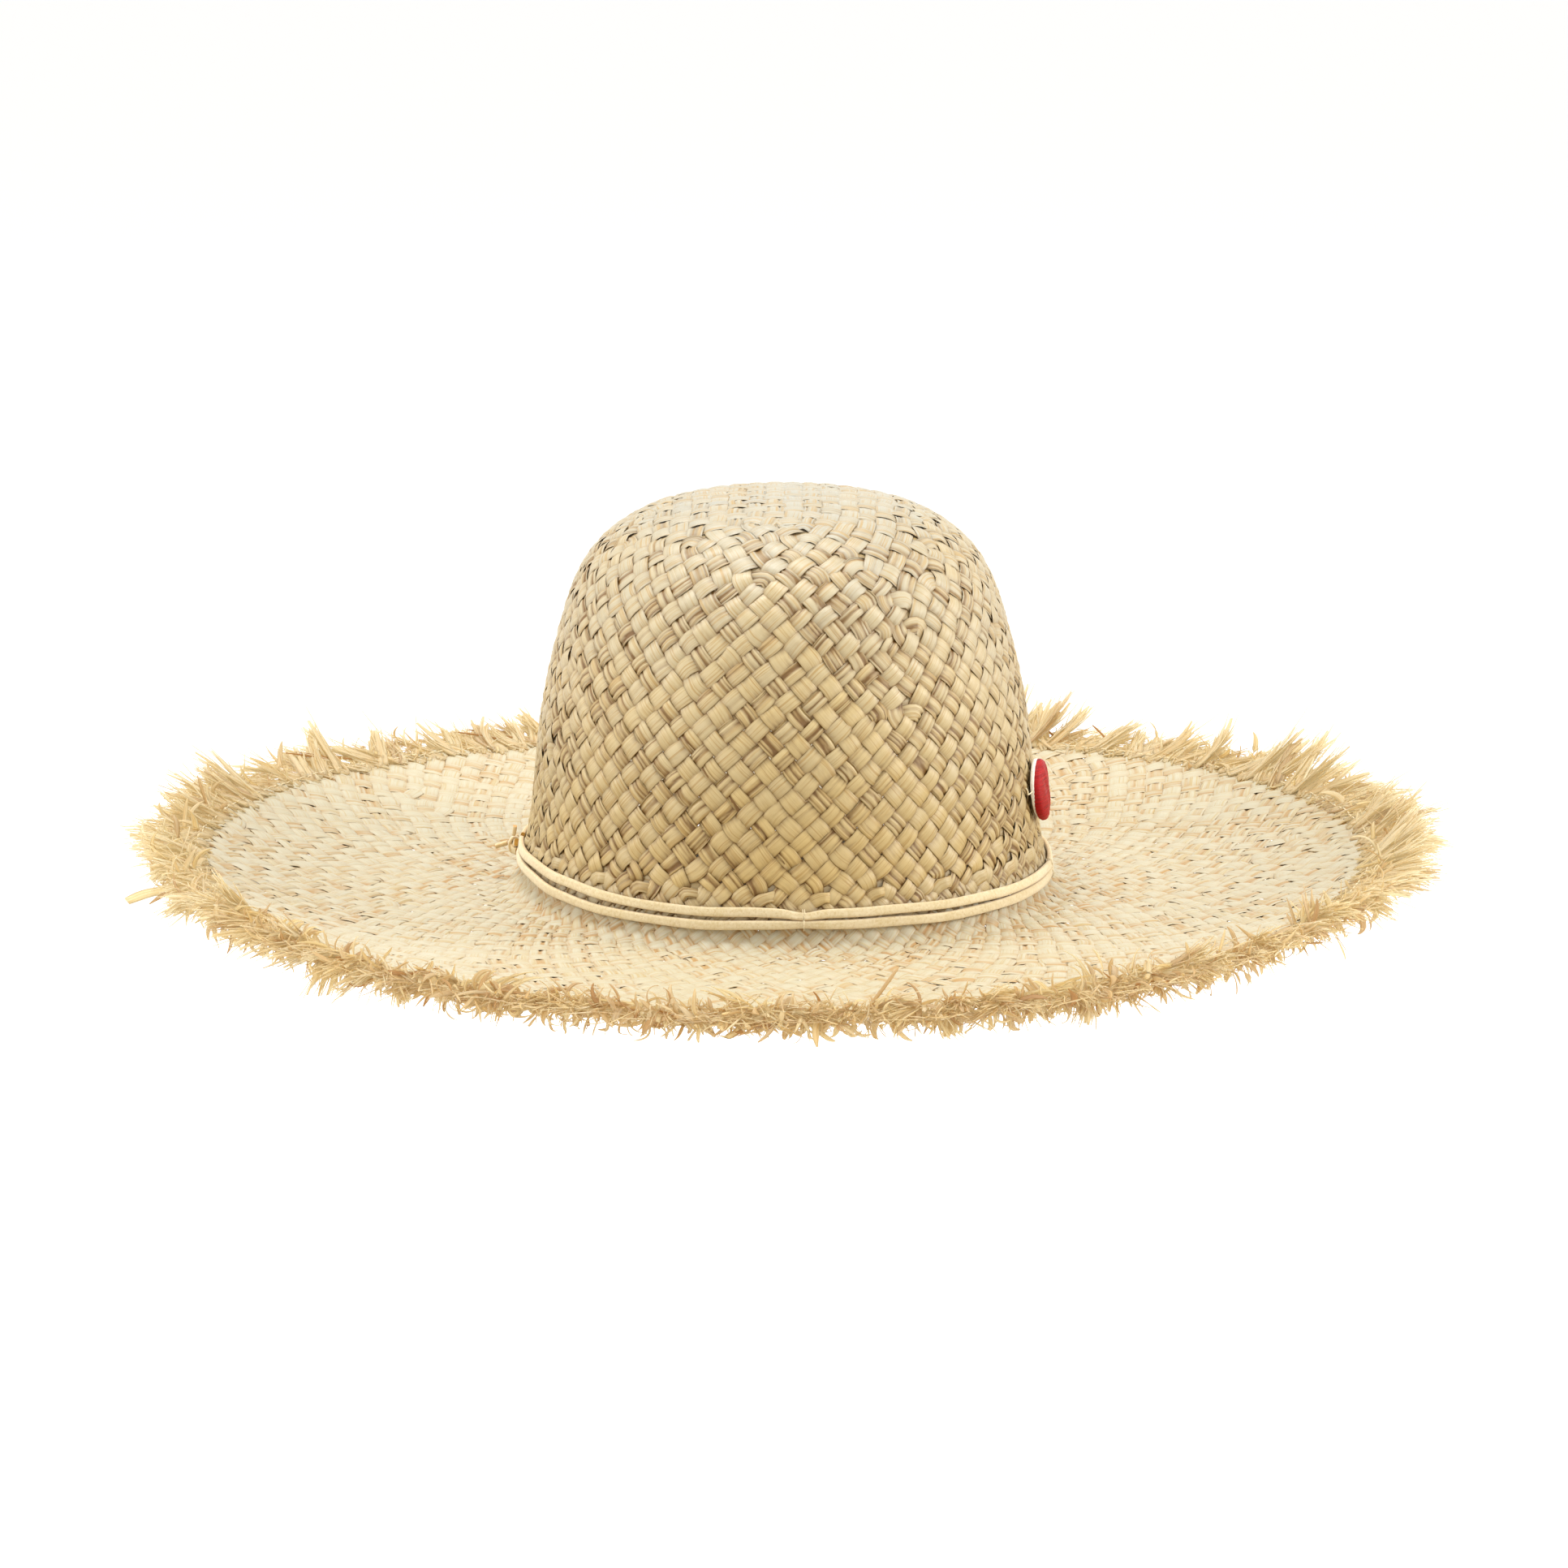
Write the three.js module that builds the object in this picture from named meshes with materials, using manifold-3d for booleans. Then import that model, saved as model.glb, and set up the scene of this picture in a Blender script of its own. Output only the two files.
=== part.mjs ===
// Straw sun hat: a woven raffia crown and a wide brim with a frayed edge, a suede hatband wound twice
// round the crown and knotted at the wearer's right, and a small padded badge at the wearer's left.
//
// Units are millimetres and +Z is up. The hat's front is -Y and the wearer's left is +X. The hat stands on
// the flat foot of its brim at Z = 0, and the Z axis runs through the middle of the crown.
//
// Every round piece is a lathe about the Z axis that is then stretched to the oval of a head, and the
// brim's rim is lifted, a little at front and back and more at the sides.

import * as THREE from "three";
import { mergeVertices } from "three/addons/utils/BufferGeometryUtils.js";
import Module from "manifold-3d";

const wasm = await Module();
wasm.setup();

// ---------------------------------------------------------------- driving dimensions

const SEGMENTS = 72; // facets round every lathe, so that nested rings stay parallel
const CLEARANCE = 0.3; // between pieces that touch

const CROWN_FOOT_HALF_WIDTH = 89.5; // outside, side to side
const CROWN_FOOT_HALF_LENGTH = 99.3; // outside, front to back
const OVAL = CROWN_FOOT_HALF_LENGTH / CROWN_FOOT_HALF_WIDTH;
const SHELL_THICKNESS = 1.8; // two layers of raffia where strips cross
// Outside of the crown on its narrow side: [half-width, height], from the foot to the tip.
const CROWN_OUTLINE = [
  [89.75, 9.6], [87.32, 20.54], [85.88, 30.39], [84.85, 40.29], [83.91, 50.2], [82.72, 60.08],
  [81.01, 69.89], [78.82, 79.6], [76.29, 89.23], [73.49, 98.78], [69.88, 108.05], [64.58, 116.45],
  [57.34, 123.25], [48.83, 128.38], [39.53, 131.89], [29.8, 133.98], [19.9, 134.99], [9.96, 135.33],
  [0, 135.36],
];

const BRIM_THICKNESS = 1.8;
const BRIM_FILLET = 7.5; // outside radius where the crown turns into the brim
const BRIM_COLLAR_TOP = 9.3; // the brim's upturned inner edge ends here, under the crown's foot
const BRIM_HALF_WIDTH = 201.7; // to the end of the weave
const BRIM_FLAT_TO = 128; // the foot of the brim is flat out to here
const RIM_LIFT_FRONT = 8.3;
const RIM_LIFT_SIDE = 16.3;

const FRINGE_HALF_WIDTH = 226.5; // to the tips of the longest frayed ends
const FRINGE_SHORTEST = 213;
const FRINGE_THICKNESS = 1.3;

const THONG_WIDTH = 3.1;
const THONG_THICKNESS = 1.6;
const TURN_SPACING = 0.3; // open line between the thong's two turns
// Height of that open line round the crown, by direction in degrees from the wearer's left: the band
// sits a little higher at the knot.
const BAND_LINE = [
  [-180, 13.9], [-160, 13.3], [-145, 12.1], [-130, 11.2], [-110, 10.9], [-90, 11.4], [-70, 11.0],
  [-50, 10.0], [-30, 9.2], [0, 8.7], [30, 9.2], [60, 10.1], [90, 11.0], [120, 12.0], [150, 13.1], [180, 13.9],
];
const KNOT_GAP_HALF = 3.4; // the turns end this far either side of the knot's middle

const KNOT = { x: -91.75, z: 13.6, rx: 2.1, ry: 3.0, rz: 3.2 };
const TAIL_THICKNESS = 1.5;
const TAIL_WIDTH = 3.4;
const UPPER_TAIL = { x: -92.15, y: -2.0, z: 17.9, length: 2.7, lean: 100 }; // lean from -X towards +Z, degrees
const LOWER_TAIL = { x: -95.0, y: 2.0, z: 13.7, length: 3.7, lean: -17 };

const BADGE_Z = 36.4; // middle of the badge on the crown's wall
const BADGE_ANGLE = -10.5; // degrees from the wearer's left, towards the front
const BADGE_HALF_HEIGHT = 9.9;
const BADGE_HALF_WIDTH = 9.9;

const SWEATBAND_BOTTOM = 10.3;
const SWEATBAND_TOP = 36;
const SWEATBAND_THICKNESS = 0.8;

// ---------------------------------------------------------------- shaping functions

// Half-length front to back that goes with a half-width of r.
const halfLength = (r) =>
  r <= CROWN_FOOT_HALF_WIDTH ? r * OVAL : r + CROWN_FOOT_HALF_WIDTH * (OVAL - 1);

// How far the brim stands above its flat foot at half-width r, in direction angle.
function rimLift(r, angle) {
  if (r <= BRIM_FLAT_TO) return 0;
  const full = RIM_LIFT_FRONT + (RIM_LIFT_SIDE - RIM_LIFT_FRONT) * Math.cos(angle) ** 2;
  const t = (r - BRIM_FLAT_TO) / (BRIM_HALF_WIDTH - BRIM_FLAT_TO);
  return t <= 1 ? full * t * t : full * (1 + 1.1 * (t - 1));
}

const outline = new THREE.SplineCurve(CROWN_OUTLINE.map(([r, z]) => new THREE.Vector2(r, z)));

// Half-width of the crown's outside at height z, for the wall below the shoulder.
function crownHalfWidth(z) {
  let previous = CROWN_OUTLINE[0];
  for (const point of CROWN_OUTLINE) {
    if (point[1] >= z) {
      const span = point[1] - previous[1];
      return span ? previous[0] + ((point[0] - previous[0]) * (z - previous[1])) / span : point[0];
    }
    previous = point;
  }
  return 0;
}

// The outline moved inwards by a distance, from the foot to the tip.
function insetOutline(distance, count) {
  const points = [];
  for (let i = 0; i <= count; i++) {
    const t = i / count;
    const p = outline.getPoint(t);
    const d = outline.getTangent(t);
    points.push(new THREE.Vector2(Math.max(p.x - d.y * distance, 0), p.y + d.x * distance));
  }
  points[count].x = 0;
  return points;
}

function solid(geometry) {
  const g = geometry.clone();
  for (const name of Object.keys(g.attributes)) if (name !== "position") g.deleteAttribute(name);
  const merged = mergeVertices(g, 1e-4);
  const triVerts = new Uint32Array(merged.index.array);
  let body = new wasm.Manifold(
    new wasm.Mesh({ numProp: 3, vertProperties: new Float32Array(merged.attributes.position.array), triVerts }),
  );
  if (body.volume() < 0) {
    for (let i = 0; i < triVerts.length; i += 3)
      [triVerts[i + 1], triVerts[i + 2]] = [triVerts[i + 2], triVerts[i + 1]];
    body = new wasm.Manifold(
      new wasm.Mesh({ numProp: 3, vertProperties: new Float32Array(merged.attributes.position.array), triVerts }),
    );
  }
  return body;
}

function geometryOf(body) {
  const mesh = body.getMesh();
  const g = new THREE.BufferGeometry();
  const positions = new Float32Array(mesh.numVert * 3);
  for (let i = 0; i < mesh.numVert; i++)
    for (let k = 0; k < 3; k++) positions[3 * i + k] = mesh.vertProperties[i * mesh.numProp + k];
  g.setAttribute("position", new THREE.BufferAttribute(positions, 3));
  g.setIndex(new THREE.BufferAttribute(new Uint32Array(mesh.triVerts), 1));
  g.computeVertexNormals();
  return g;
}

// A lathe about +Z from [half-width, height] points, stretched to the oval. lifted adds the rim's lift.
function ring(profile, { segments = SEGMENTS, lifted = false, shape = null } = {}) {
  const g = new THREE.LatheGeometry(profile, segments);
  g.rotateX(Math.PI / 2); // the lathe's own axis is +Y
  const p = g.attributes.position;
  for (let i = 0; i < p.count; i++) {
    let r = Math.hypot(p.getX(i), p.getY(i));
    let z = p.getZ(i);
    const angle = Math.atan2(p.getY(i), p.getX(i));
    if (shape) [r, z] = shape(r, z, angle);
    if (lifted) z += rimLift(r, angle);
    p.setXYZ(i, r * Math.cos(angle), halfLength(r) * Math.sin(angle), z);
  }
  return solid(g);
}

const closed = (points) => [...points, points[0]].map((p) => (p.isVector2 ? p : new THREE.Vector2(...p)));

// Bends a flat body onto the crown's wall: its X runs round the crown, its Y up it and its Z away from it.
// angle is where the body's middle goes, inside puts it on the inner face, facing inwards, and fineness is
// how many times each edge is cut so that it can follow the curve.
function onWall(body, angle, middleZ, offset, { inside = false, fineness = 2 } = {}) {
  return body.refine(fineness).warp((v) => {
    const z = middleZ + v[1];
    const wall = crownHalfWidth(z) - (inside ? SHELL_THICKNESS : 0);
    const out = (inside ? -1 : 1) * (offset + v[2]);
    const speed = Math.hypot(wall * Math.sin(angle), wall * OVAL * Math.cos(angle));
    const a = angle + ((inside ? -1 : 1) * v[0]) / speed;
    const slope = (crownHalfWidth(z + 2) - crownHalfWidth(z - 2)) / 4;
    const n = new THREE.Vector3(Math.cos(a), Math.sin(a) / OVAL, -slope).normalize();
    v[0] = wall * Math.cos(a) + n.x * out;
    v[1] = wall * OVAL * Math.sin(a) + n.y * out;
    v[2] = z + n.z * out;
  });
}

function ellipseShape(rx, ry) {
  const shape = new THREE.Shape();
  shape.absellipse(0, 0, rx, ry, 0, Math.PI * 2, false, 0);
  return shape;
}

const hat = new THREE.Group();
hat.name = "straw_sun_hat";

function add(name, body, color, roughness, metalness = 0) {
  const mesh = new THREE.Mesh(
    body.isBufferGeometry ? body : geometryOf(body),
    new THREE.MeshStandardMaterial({ color, roughness, metalness }),
  );
  mesh.name = name;
  hat.add(mesh);
  return mesh;
}

const RAFFIA = 0xe2cc98;
const RAFFIA_PALE = 0xeadbb2;
const RAFFIA_GOLD = 0xdcb878;
const SUEDE = 0xe6d5aa;
const COTTON = 0xf1ebdd;
const THREAD = 0xf4ead0;

// ---------------------------------------------------------------- woven body

// Crown: a shell closed at the tip and open at the foot.
const inner = insetOutline(SHELL_THICKNESS, 18);
inner[0].set(CROWN_OUTLINE[0][0] - SHELL_THICKNESS, CROWN_OUTLINE[0][1]);
const outer = outline.getPoints(18);
add("crown_weave", ring([...outer.slice().reverse(), ...inner]), RAFFIA, 0.75);

// Brim: an upturned collar under the crown's foot, a fillet, a flat foot and the rising rim.
const filletCentre = [89.7 + BRIM_FILLET, BRIM_COLLAR_TOP];
const arc = (radius, from, to, steps) =>
  Array.from({ length: steps + 1 }, (_, i) => {
    const a = THREE.MathUtils.degToRad(from + ((to - from) * i) / steps);
    return [filletCentre[0] + radius * Math.cos(a), filletCentre[1] + radius * Math.sin(a)];
  });
const brimStations = [112, BRIM_FLAT_TO, 140, 152, 164, 176, 188];
add(
  "brim_weave",
  ring(
    closed([
      ...arc(BRIM_FILLET, 180, 270, 6),
      ...brimStations.map((r) => [r, BRIM_THICKNESS]),
      [BRIM_HALF_WIDTH, BRIM_THICKNESS],
      [BRIM_HALF_WIDTH, 0],
      ...brimStations.slice().reverse().map((r) => [r, 0]),
      ...arc(BRIM_FILLET + BRIM_THICKNESS, 270, 180, 6),
    ]),
    { lifted: true },
  ),
  RAFFIA_PALE,
  0.75,
);

// Frayed edge: the free ends of the brim's own strips, as one ragged skirt that starts at the rim.
const tuft = (angle, k) => 0.5 + 0.5 * Math.sin(angle * k + 1.7 * Math.sin(angle * 5)) * Math.cos(angle * 7);
add(
  "frayed_edge",
  ring(
    closed([
      [BRIM_HALF_WIDTH + CLEARANCE, FRINGE_THICKNESS + 0.2],
      [208, FRINGE_THICKNESS + 0.2],
      [FRINGE_HALF_WIDTH, FRINGE_THICKNESS],
      [FRINGE_HALF_WIDTH, 0.5],
      [208, 0.2],
      [BRIM_HALF_WIDTH + CLEARANCE, 0.2],
    ]),
    {
      segments: SEGMENTS * 2,
      lifted: true,
      shape: (r, z, angle) => {
        if (r < 209) return [r, z];
        const index = Math.round((angle / Math.PI) * SEGMENTS);
        const quarter = index % (SEGMENTS / 2) === 0; // the tips that set the hat's length and width
        const long = quarter ? 1 : (index % 2 ? 0.15 : 0.65) + 0.3 * tuft(angle, 31);
        return [
          FRINGE_SHORTEST + (FRINGE_HALF_WIDTH - FRINGE_SHORTEST) * Math.min(long, 0.97 + (quarter ? 0.03 : 0)),
          z + (quarter ? 0 : 3.2 * tuft(angle, 17)),
        ];
      },
    },
  ),
  RAFFIA_GOLD,
  0.8,
);

// Thread that locks the last row of the weave, so that the edge frays no further.
add(
  "edge_lock_stitch",
  ring(
    closed([
      [198.9, BRIM_THICKNESS + CLEARANCE],
      [199.6, BRIM_THICKNESS + CLEARANCE],
      [199.6, BRIM_THICKNESS + CLEARANCE + 0.6],
      [198.9, BRIM_THICKNESS + CLEARANCE + 0.6],
    ]),
    { lifted: true },
  ),
  THREAD,
  0.7,
);

// ---------------------------------------------------------------- hatband

const knotGap = wasm.Manifold.cube([12, 2 * KNOT_GAP_HALF, 20], true).translate([KNOT.x, 0, KNOT.z]);
const bandLine = (angle) => {
  const degrees = THREE.MathUtils.radToDeg(angle);
  for (let i = 1; i < BAND_LINE.length; i++) {
    const [a, za] = BAND_LINE[i - 1];
    const [b, zb] = BAND_LINE[i];
    if (degrees <= b) return za + ((zb - za) * (1 - Math.cos((Math.PI * (degrees - a)) / (b - a)))) / 2;
  }
  return BAND_LINE[0][1];
};
// Half-width of the outside at a height near the crown's foot: the crown above, the brim's fillet below.
const wallAt = (z) =>
  z >= 9.6
    ? crownHalfWidth(z)
    : z >= BRIM_COLLAR_TOP
      ? 89.75
      : 97.2 - Math.sqrt(BRIM_FILLET ** 2 - (BRIM_COLLAR_TOP - z) ** 2);

// One turn of the thong, with its bottom edge so far above the band's line.
function turn(above) {
  const base = 100;
  return ring(
    closed([
      [base, 0],
      [base + THONG_THICKNESS, 0],
      [base + THONG_THICKNESS, THONG_WIDTH],
      [base, THONG_WIDTH],
    ]),
    {
      shape: (r, z, angle) => {
        const level = bandLine(angle) + above + z;
        return [wallAt(level) + CLEARANCE + 0.1 + r - base, level];
      },
    },
  ).subtract(knotGap);
}
add("hatband_lower_turn", turn(-TURN_SPACING / 2 - THONG_WIDTH), SUEDE, 0.9);
add("hatband_upper_turn", turn(TURN_SPACING / 2), SUEDE, 0.9);

// Knot: a flattened lump with one wrap of thong round it.
const lump = solid(new THREE.SphereGeometry(1, 20, 14)).scale([KNOT.rx, KNOT.ry, KNOT.rz]);
const wrap = solid(
  new THREE.TorusGeometry(2.35, 0.6, 8, 24).rotateY(Math.PI / 2).scale(1.6, 0.86, 1.02).rotateX(0.35),
).intersect(wasm.Manifold.cube([4.1, 5.9, 6.1], true));
add("hatband_knot", lump.add(wrap).translate([KNOT.x, 0, KNOT.z]), SUEDE, 0.9);

// A thong end: round where it leaves the knot, cut square at its tip, and lying flat across Y.
function tail({ x, y, z, length, lean }) {
  const half = TAIL_THICKNESS / 2;
  const side = new THREE.Shape();
  side.moveTo(0, -half);
  side.lineTo(length, -half * 0.9);
  side.lineTo(length, half * 0.9);
  side.lineTo(0, half);
  side.absarc(0, 0, half, Math.PI / 2, Math.PI * 1.5, false);
  const g = new THREE.ExtrudeGeometry(side, { depth: TAIL_WIDTH, bevelEnabled: false, curveSegments: 8 });
  g.translate(0, 0, -TAIL_WIDTH / 2);
  g.rotateX(Math.PI / 2); // the side view now lies in XZ, with the width along Y
  g.rotateY(THREE.MathUtils.degToRad(180 + lean)); // lean is from -X towards +Z
  g.translate(x, y, z);
  return solid(g);
}
add("knot_tail_upper", tail(UPPER_TAIL), SUEDE, 0.9);
add("knot_tail_lower", tail(LOWER_TAIL), SUEDE, 0.9);

// Threads that tack the two turns to the crown: front, wearer's left and back.
function tack(angle, height = 7.3, radius = 0.35) {
  const z = bandLine(angle);
  const low = wallAt(z - height / 2);
  const high = wallAt(z + height / 2);
  const g = new THREE.CapsuleGeometry(radius, height - 2 * radius, 4, 10).rotateX(Math.PI / 2);
  g.rotateY(-Math.atan((low - high) / height)); // leans with the band
  const r = (low + high) / 2 + CLEARANCE + 0.1 + THONG_THICKNESS + radius + 0.35;
  g.translate(r, 0, 0);
  g.rotateZ(angle);
  const p = g.attributes.position;
  for (let i = 0; i < p.count; i++) p.setXYZ(i, p.getX(i), p.getY(i), p.getZ(i) + z);
  const c = new THREE.Vector2(r * Math.cos(angle), r * Math.sin(angle));
  const c2 = new THREE.Vector2(r * Math.cos(angle), halfLength(r) * Math.sin(angle));
  g.translate(c2.x - c.x, c2.y - c.y, 0);
  return solid(g);
}
add("band_tack_front", tack(THREE.MathUtils.degToRad(-86)), THREAD, 0.6);
add("band_tack_left", tack(THREE.MathUtils.degToRad(-8)), THREAD, 0.6);
add("band_tack_back", tack(THREE.MathUtils.degToRad(92)), THREAD, 0.6);

// ---------------------------------------------------------------- badge at the wearer's left

const flat = (rx, ry, depth, bevel = 0) => {
  const g = new THREE.ExtrudeGeometry(ellipseShape(rx - bevel, ry - bevel), {
    depth: depth - bevel,
    bevelEnabled: bevel > 0,
    bevelThickness: bevel,
    bevelSize: bevel,
    bevelSegments: 3,
    curveSegments: 12,
  });
  return solid(g);
};
const badgeAngle = THREE.MathUtils.degToRad(BADGE_ANGLE);
add("badge_backing", onWall(flat(9.0, 9.0, 0.8), badgeAngle, BADGE_Z, 0.7, { fineness: 3 }), 0xd9c08c, 0.85);
add("badge_felt", onWall(flat(BADGE_HALF_WIDTH + 0.9, BADGE_HALF_HEIGHT + 0.5, 1.0), badgeAngle, BADGE_Z, 1.8, { fineness: 3 }), 0xf6f1e6, 0.95);
// The pad's rounded rim is on its outer face only, so the lower half of the bevelled form is cut off.
const pad = flat(BADGE_HALF_WIDTH, BADGE_HALF_HEIGHT, 2.1, 0.9).trimByPlane([0, 0, 1], 0.0);
add("badge_pad", onWall(pad, badgeAngle, BADGE_Z, 3.1), 0xb3181d, 0.45);
add(
  "badge_stitch",
  onWall(
    solid(new THREE.CapsuleGeometry(0.3, 3.0, 4, 8).rotateZ(0.5)),
    badgeAngle - THREE.MathUtils.degToRad(8.6),
    BADGE_Z + 2.4,
    0.75,
    { fineness: 1 },
  ),
  THREAD,
  0.6,
);

// ---------------------------------------------------------------- inside of the crown

const sweatProfile = [];
const levels = [SWEATBAND_BOTTOM, 15, 22, 29, SWEATBAND_TOP];
for (const z of levels) sweatProfile.push([crownHalfWidth(z) - SHELL_THICKNESS - CLEARANCE - 0.1, z]);
for (const z of levels.slice().reverse())
  sweatProfile.push([crownHalfWidth(z) - SHELL_THICKNESS - CLEARANCE - 0.1 - SWEATBAND_THICKNESS, z]);
add("sweatband", ring(closed(sweatProfile)), COTTON, 0.85);

const stitchR = crownHalfWidth(12.6) - SHELL_THICKNESS - CLEARANCE - 0.1 - SWEATBAND_THICKNESS - CLEARANCE;
add(
  "sweatband_stitching",
  ring(closed([[stitchR, 12.3], [stitchR, 12.9], [stitchR - 0.5, 12.9], [stitchR - 0.5, 12.3]])),
  THREAD,
  0.7,
);

const plate = (width, height, thickness) =>
  solid(new THREE.BoxGeometry(width, height, thickness, 4, 2, 1).translate(0, 0, thickness / 2));
const innerFace = CLEARANCE + 0.1 + SWEATBAND_THICKNESS + CLEARANCE;
add("sweatband_join_tape", onWall(plate(11, 20, 0.6), Math.PI / 2, 24.6, innerFace + 0.1, { inside: true }), COTTON, 0.85);
add("blank_label", onWall(plate(24, 12, 0.5), THREE.MathUtils.degToRad(62), 23.5, innerFace + 0.1, { inside: true }), 0xfbf8f0, 0.8);

export default hat;
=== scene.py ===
# Straw sun hat: the woven, frayed, sewn and padded pieces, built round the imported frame.
# Metres, +Z up. The hat's front is -Y and the wearer's left is +X.
import math
import bpy
import numpy as np
from mathutils import Matrix, Vector


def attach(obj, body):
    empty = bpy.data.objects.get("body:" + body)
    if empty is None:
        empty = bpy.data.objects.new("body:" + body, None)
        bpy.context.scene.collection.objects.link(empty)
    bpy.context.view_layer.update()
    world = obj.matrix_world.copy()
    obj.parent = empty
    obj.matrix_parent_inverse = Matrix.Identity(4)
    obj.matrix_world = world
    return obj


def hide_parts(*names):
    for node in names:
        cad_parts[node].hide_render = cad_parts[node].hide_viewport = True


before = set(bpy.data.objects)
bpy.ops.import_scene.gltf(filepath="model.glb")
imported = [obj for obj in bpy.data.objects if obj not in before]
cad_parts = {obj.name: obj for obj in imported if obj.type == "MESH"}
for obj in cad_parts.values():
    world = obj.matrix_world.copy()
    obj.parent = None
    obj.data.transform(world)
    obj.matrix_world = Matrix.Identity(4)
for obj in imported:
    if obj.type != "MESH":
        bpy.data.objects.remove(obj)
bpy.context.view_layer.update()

MM = 0.001
PI = math.pi

# ------------------------------------------------------------------ the hat's shape, as the CAD has it
FOOT_W, FOOT_L = 89.5, 99.3
OVAL = FOOT_L / FOOT_W
CROWN_OUTLINE = [
    (89.75, 9.6), (87.32, 20.54), (85.88, 30.39), (84.85, 40.29), (83.91, 50.2), (82.72, 60.08),
    (81.01, 69.89), (78.82, 79.6), (76.29, 89.23), (73.49, 98.78), (69.88, 108.05), (64.58, 116.45),
    (57.34, 123.25), (48.83, 128.38), (39.53, 131.89), (29.8, 133.98), (19.9, 134.99), (9.96, 135.33),
    (0, 135.36),
]
COLLAR_Z = 9.45          # where the crown's strips end and the brim's begin, behind the band
BRIM_FLAT_TO, BRIM_R = 128.0, 201.7
LIFT_FRONT, LIFT_SIDE = 8.3, 16.3


def half_length(r):
    return np.where(r <= FOOT_W, r * OVAL, r + FOOT_W * (OVAL - 1))


def rim_lift(r, th):
    full = LIFT_FRONT + (LIFT_SIDE - LIFT_FRONT) * np.cos(th) ** 2
    t = (r - BRIM_FLAT_TO) / (BRIM_R - BRIM_FLAT_TO)
    return np.where(t <= 0, 0.0, np.where(t <= 1, full * t * t, full * (1 + 1.1 * (t - 1))))


def smooth_through(points, step=0.4):
    """A dense Catmull-Rom line through the points."""
    p = np.array(points, float)
    p = np.vstack([2 * p[0] - p[1], p, 2 * p[-1] - p[-2]])
    out = []
    for i in range(1, len(p) - 2):
        n = max(2, int(np.hypot(*(p[i + 1] - p[i])) / step))
        t = np.linspace(0, 1, n, endpoint=False)[:, None]
        a, b, c, d = p[i - 1], p[i], p[i + 1], p[i + 2]
        out.append(0.5 * (2 * b + (c - a) * t + (2 * a - 5 * b + 4 * c - d) * t * t + (3 * b - a - 3 * c + d) * t ** 3))
    out.append(p[-2][None])
    return np.vstack(out)


def offset_line(line, distance):
    d = np.gradient(line, axis=0)
    d /= np.hypot(d[:, 0], d[:, 1])[:, None]
    return line + np.column_stack([-d[:, 1], d[:, 0]]) * distance


def crown_half_width(z):
    zs = [p[1] for p in CROWN_OUTLINE]
    rs = [p[0] for p in CROWN_OUTLINE]
    return np.interp(z, zs, rs)


# One line down the middle of the woven layer, from the tip, over the foot and the fillet, to the rim.
outer = smooth_through([(-9.96, 135.33)] + CROWN_OUTLINE[::-1])
outer = outer[np.argmax(outer[:, 0] >= 0):]
outer[0] = (0, 135.36)
crown_mid = offset_line(outer, -0.9)
crown_mid[:, 0] = np.maximum(crown_mid[:, 0], 0)
angles = np.radians(np.linspace(180, 270, 24))
fillet = np.column_stack([97.2 + 8.4 * np.cos(angles), 9.3 + 8.4 * np.sin(angles)])
flat = np.column_stack([np.arange(98, 232, 1.0), np.full(134, 0.9)])
LINE = np.vstack([crown_mid[:-1], fillet, flat])
LEN = np.concatenate([[0], np.cumsum(np.hypot(*np.diff(LINE, axis=0).T))])
S_FOOT = float(np.interp(-COLLAR_Z, -LINE[: len(crown_mid) + 6, 1], LEN[: len(crown_mid) + 6]))
S_RIM = float(np.interp(BRIM_R, LINE[-134:, 0], LEN[-134:]))


def place(s, th):
    """The middle surface of the weave, in millimetres."""
    s = np.asarray(s, float)
    r = np.interp(s, LEN, LINE[:, 0])
    z = np.interp(s, LEN, LINE[:, 1]) + rim_lift(r, th)
    return np.stack([r * np.cos(th), half_length(r) * np.sin(th), z], -1)


def tangents(s, th):
    e = 0.6
    ts = (place(s + e, th) - place(np.maximum(s - e, 0), th)) / (s + e - np.maximum(s - e, 0))[..., None]
    f = 0.004
    tt = (place(s, th + f) - place(s, th - f)) / (2 * f)
    return ts, tt


def unit(v):
    return v / np.maximum(np.linalg.norm(v, axis=-1, keepdims=True), 1e-12)


def normals(s, th):
    ts, tt = tangents(s, th)
    return unit(np.cross(ts, tt))


# ------------------------------------------------------------------ the weave as a lattice of crossings
# Rows of crossings run round the hat. Between two neighbours of a row comes one crossing of the next
# row, or two where the maker folds a new strip in, which then runs both ways from its fold.
CELL_CROWN, CELL_BRIM = 8.8, 9.2      # from one crossing to the next along a row
KNOT_S = S_FOOT - 9.0                 # the row just above the band where strips are added
KNOTS_ADDED = 28


def oval_round(s):
    r = float(np.interp(s, LEN, LINE[:, 0]))
    a, b = r, float(half_length(np.array(r)))
    return PI * (3 * (a + b) - math.sqrt((3 * a + b) * (a + 3 * b))) if r > 0 else 0.0


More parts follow.
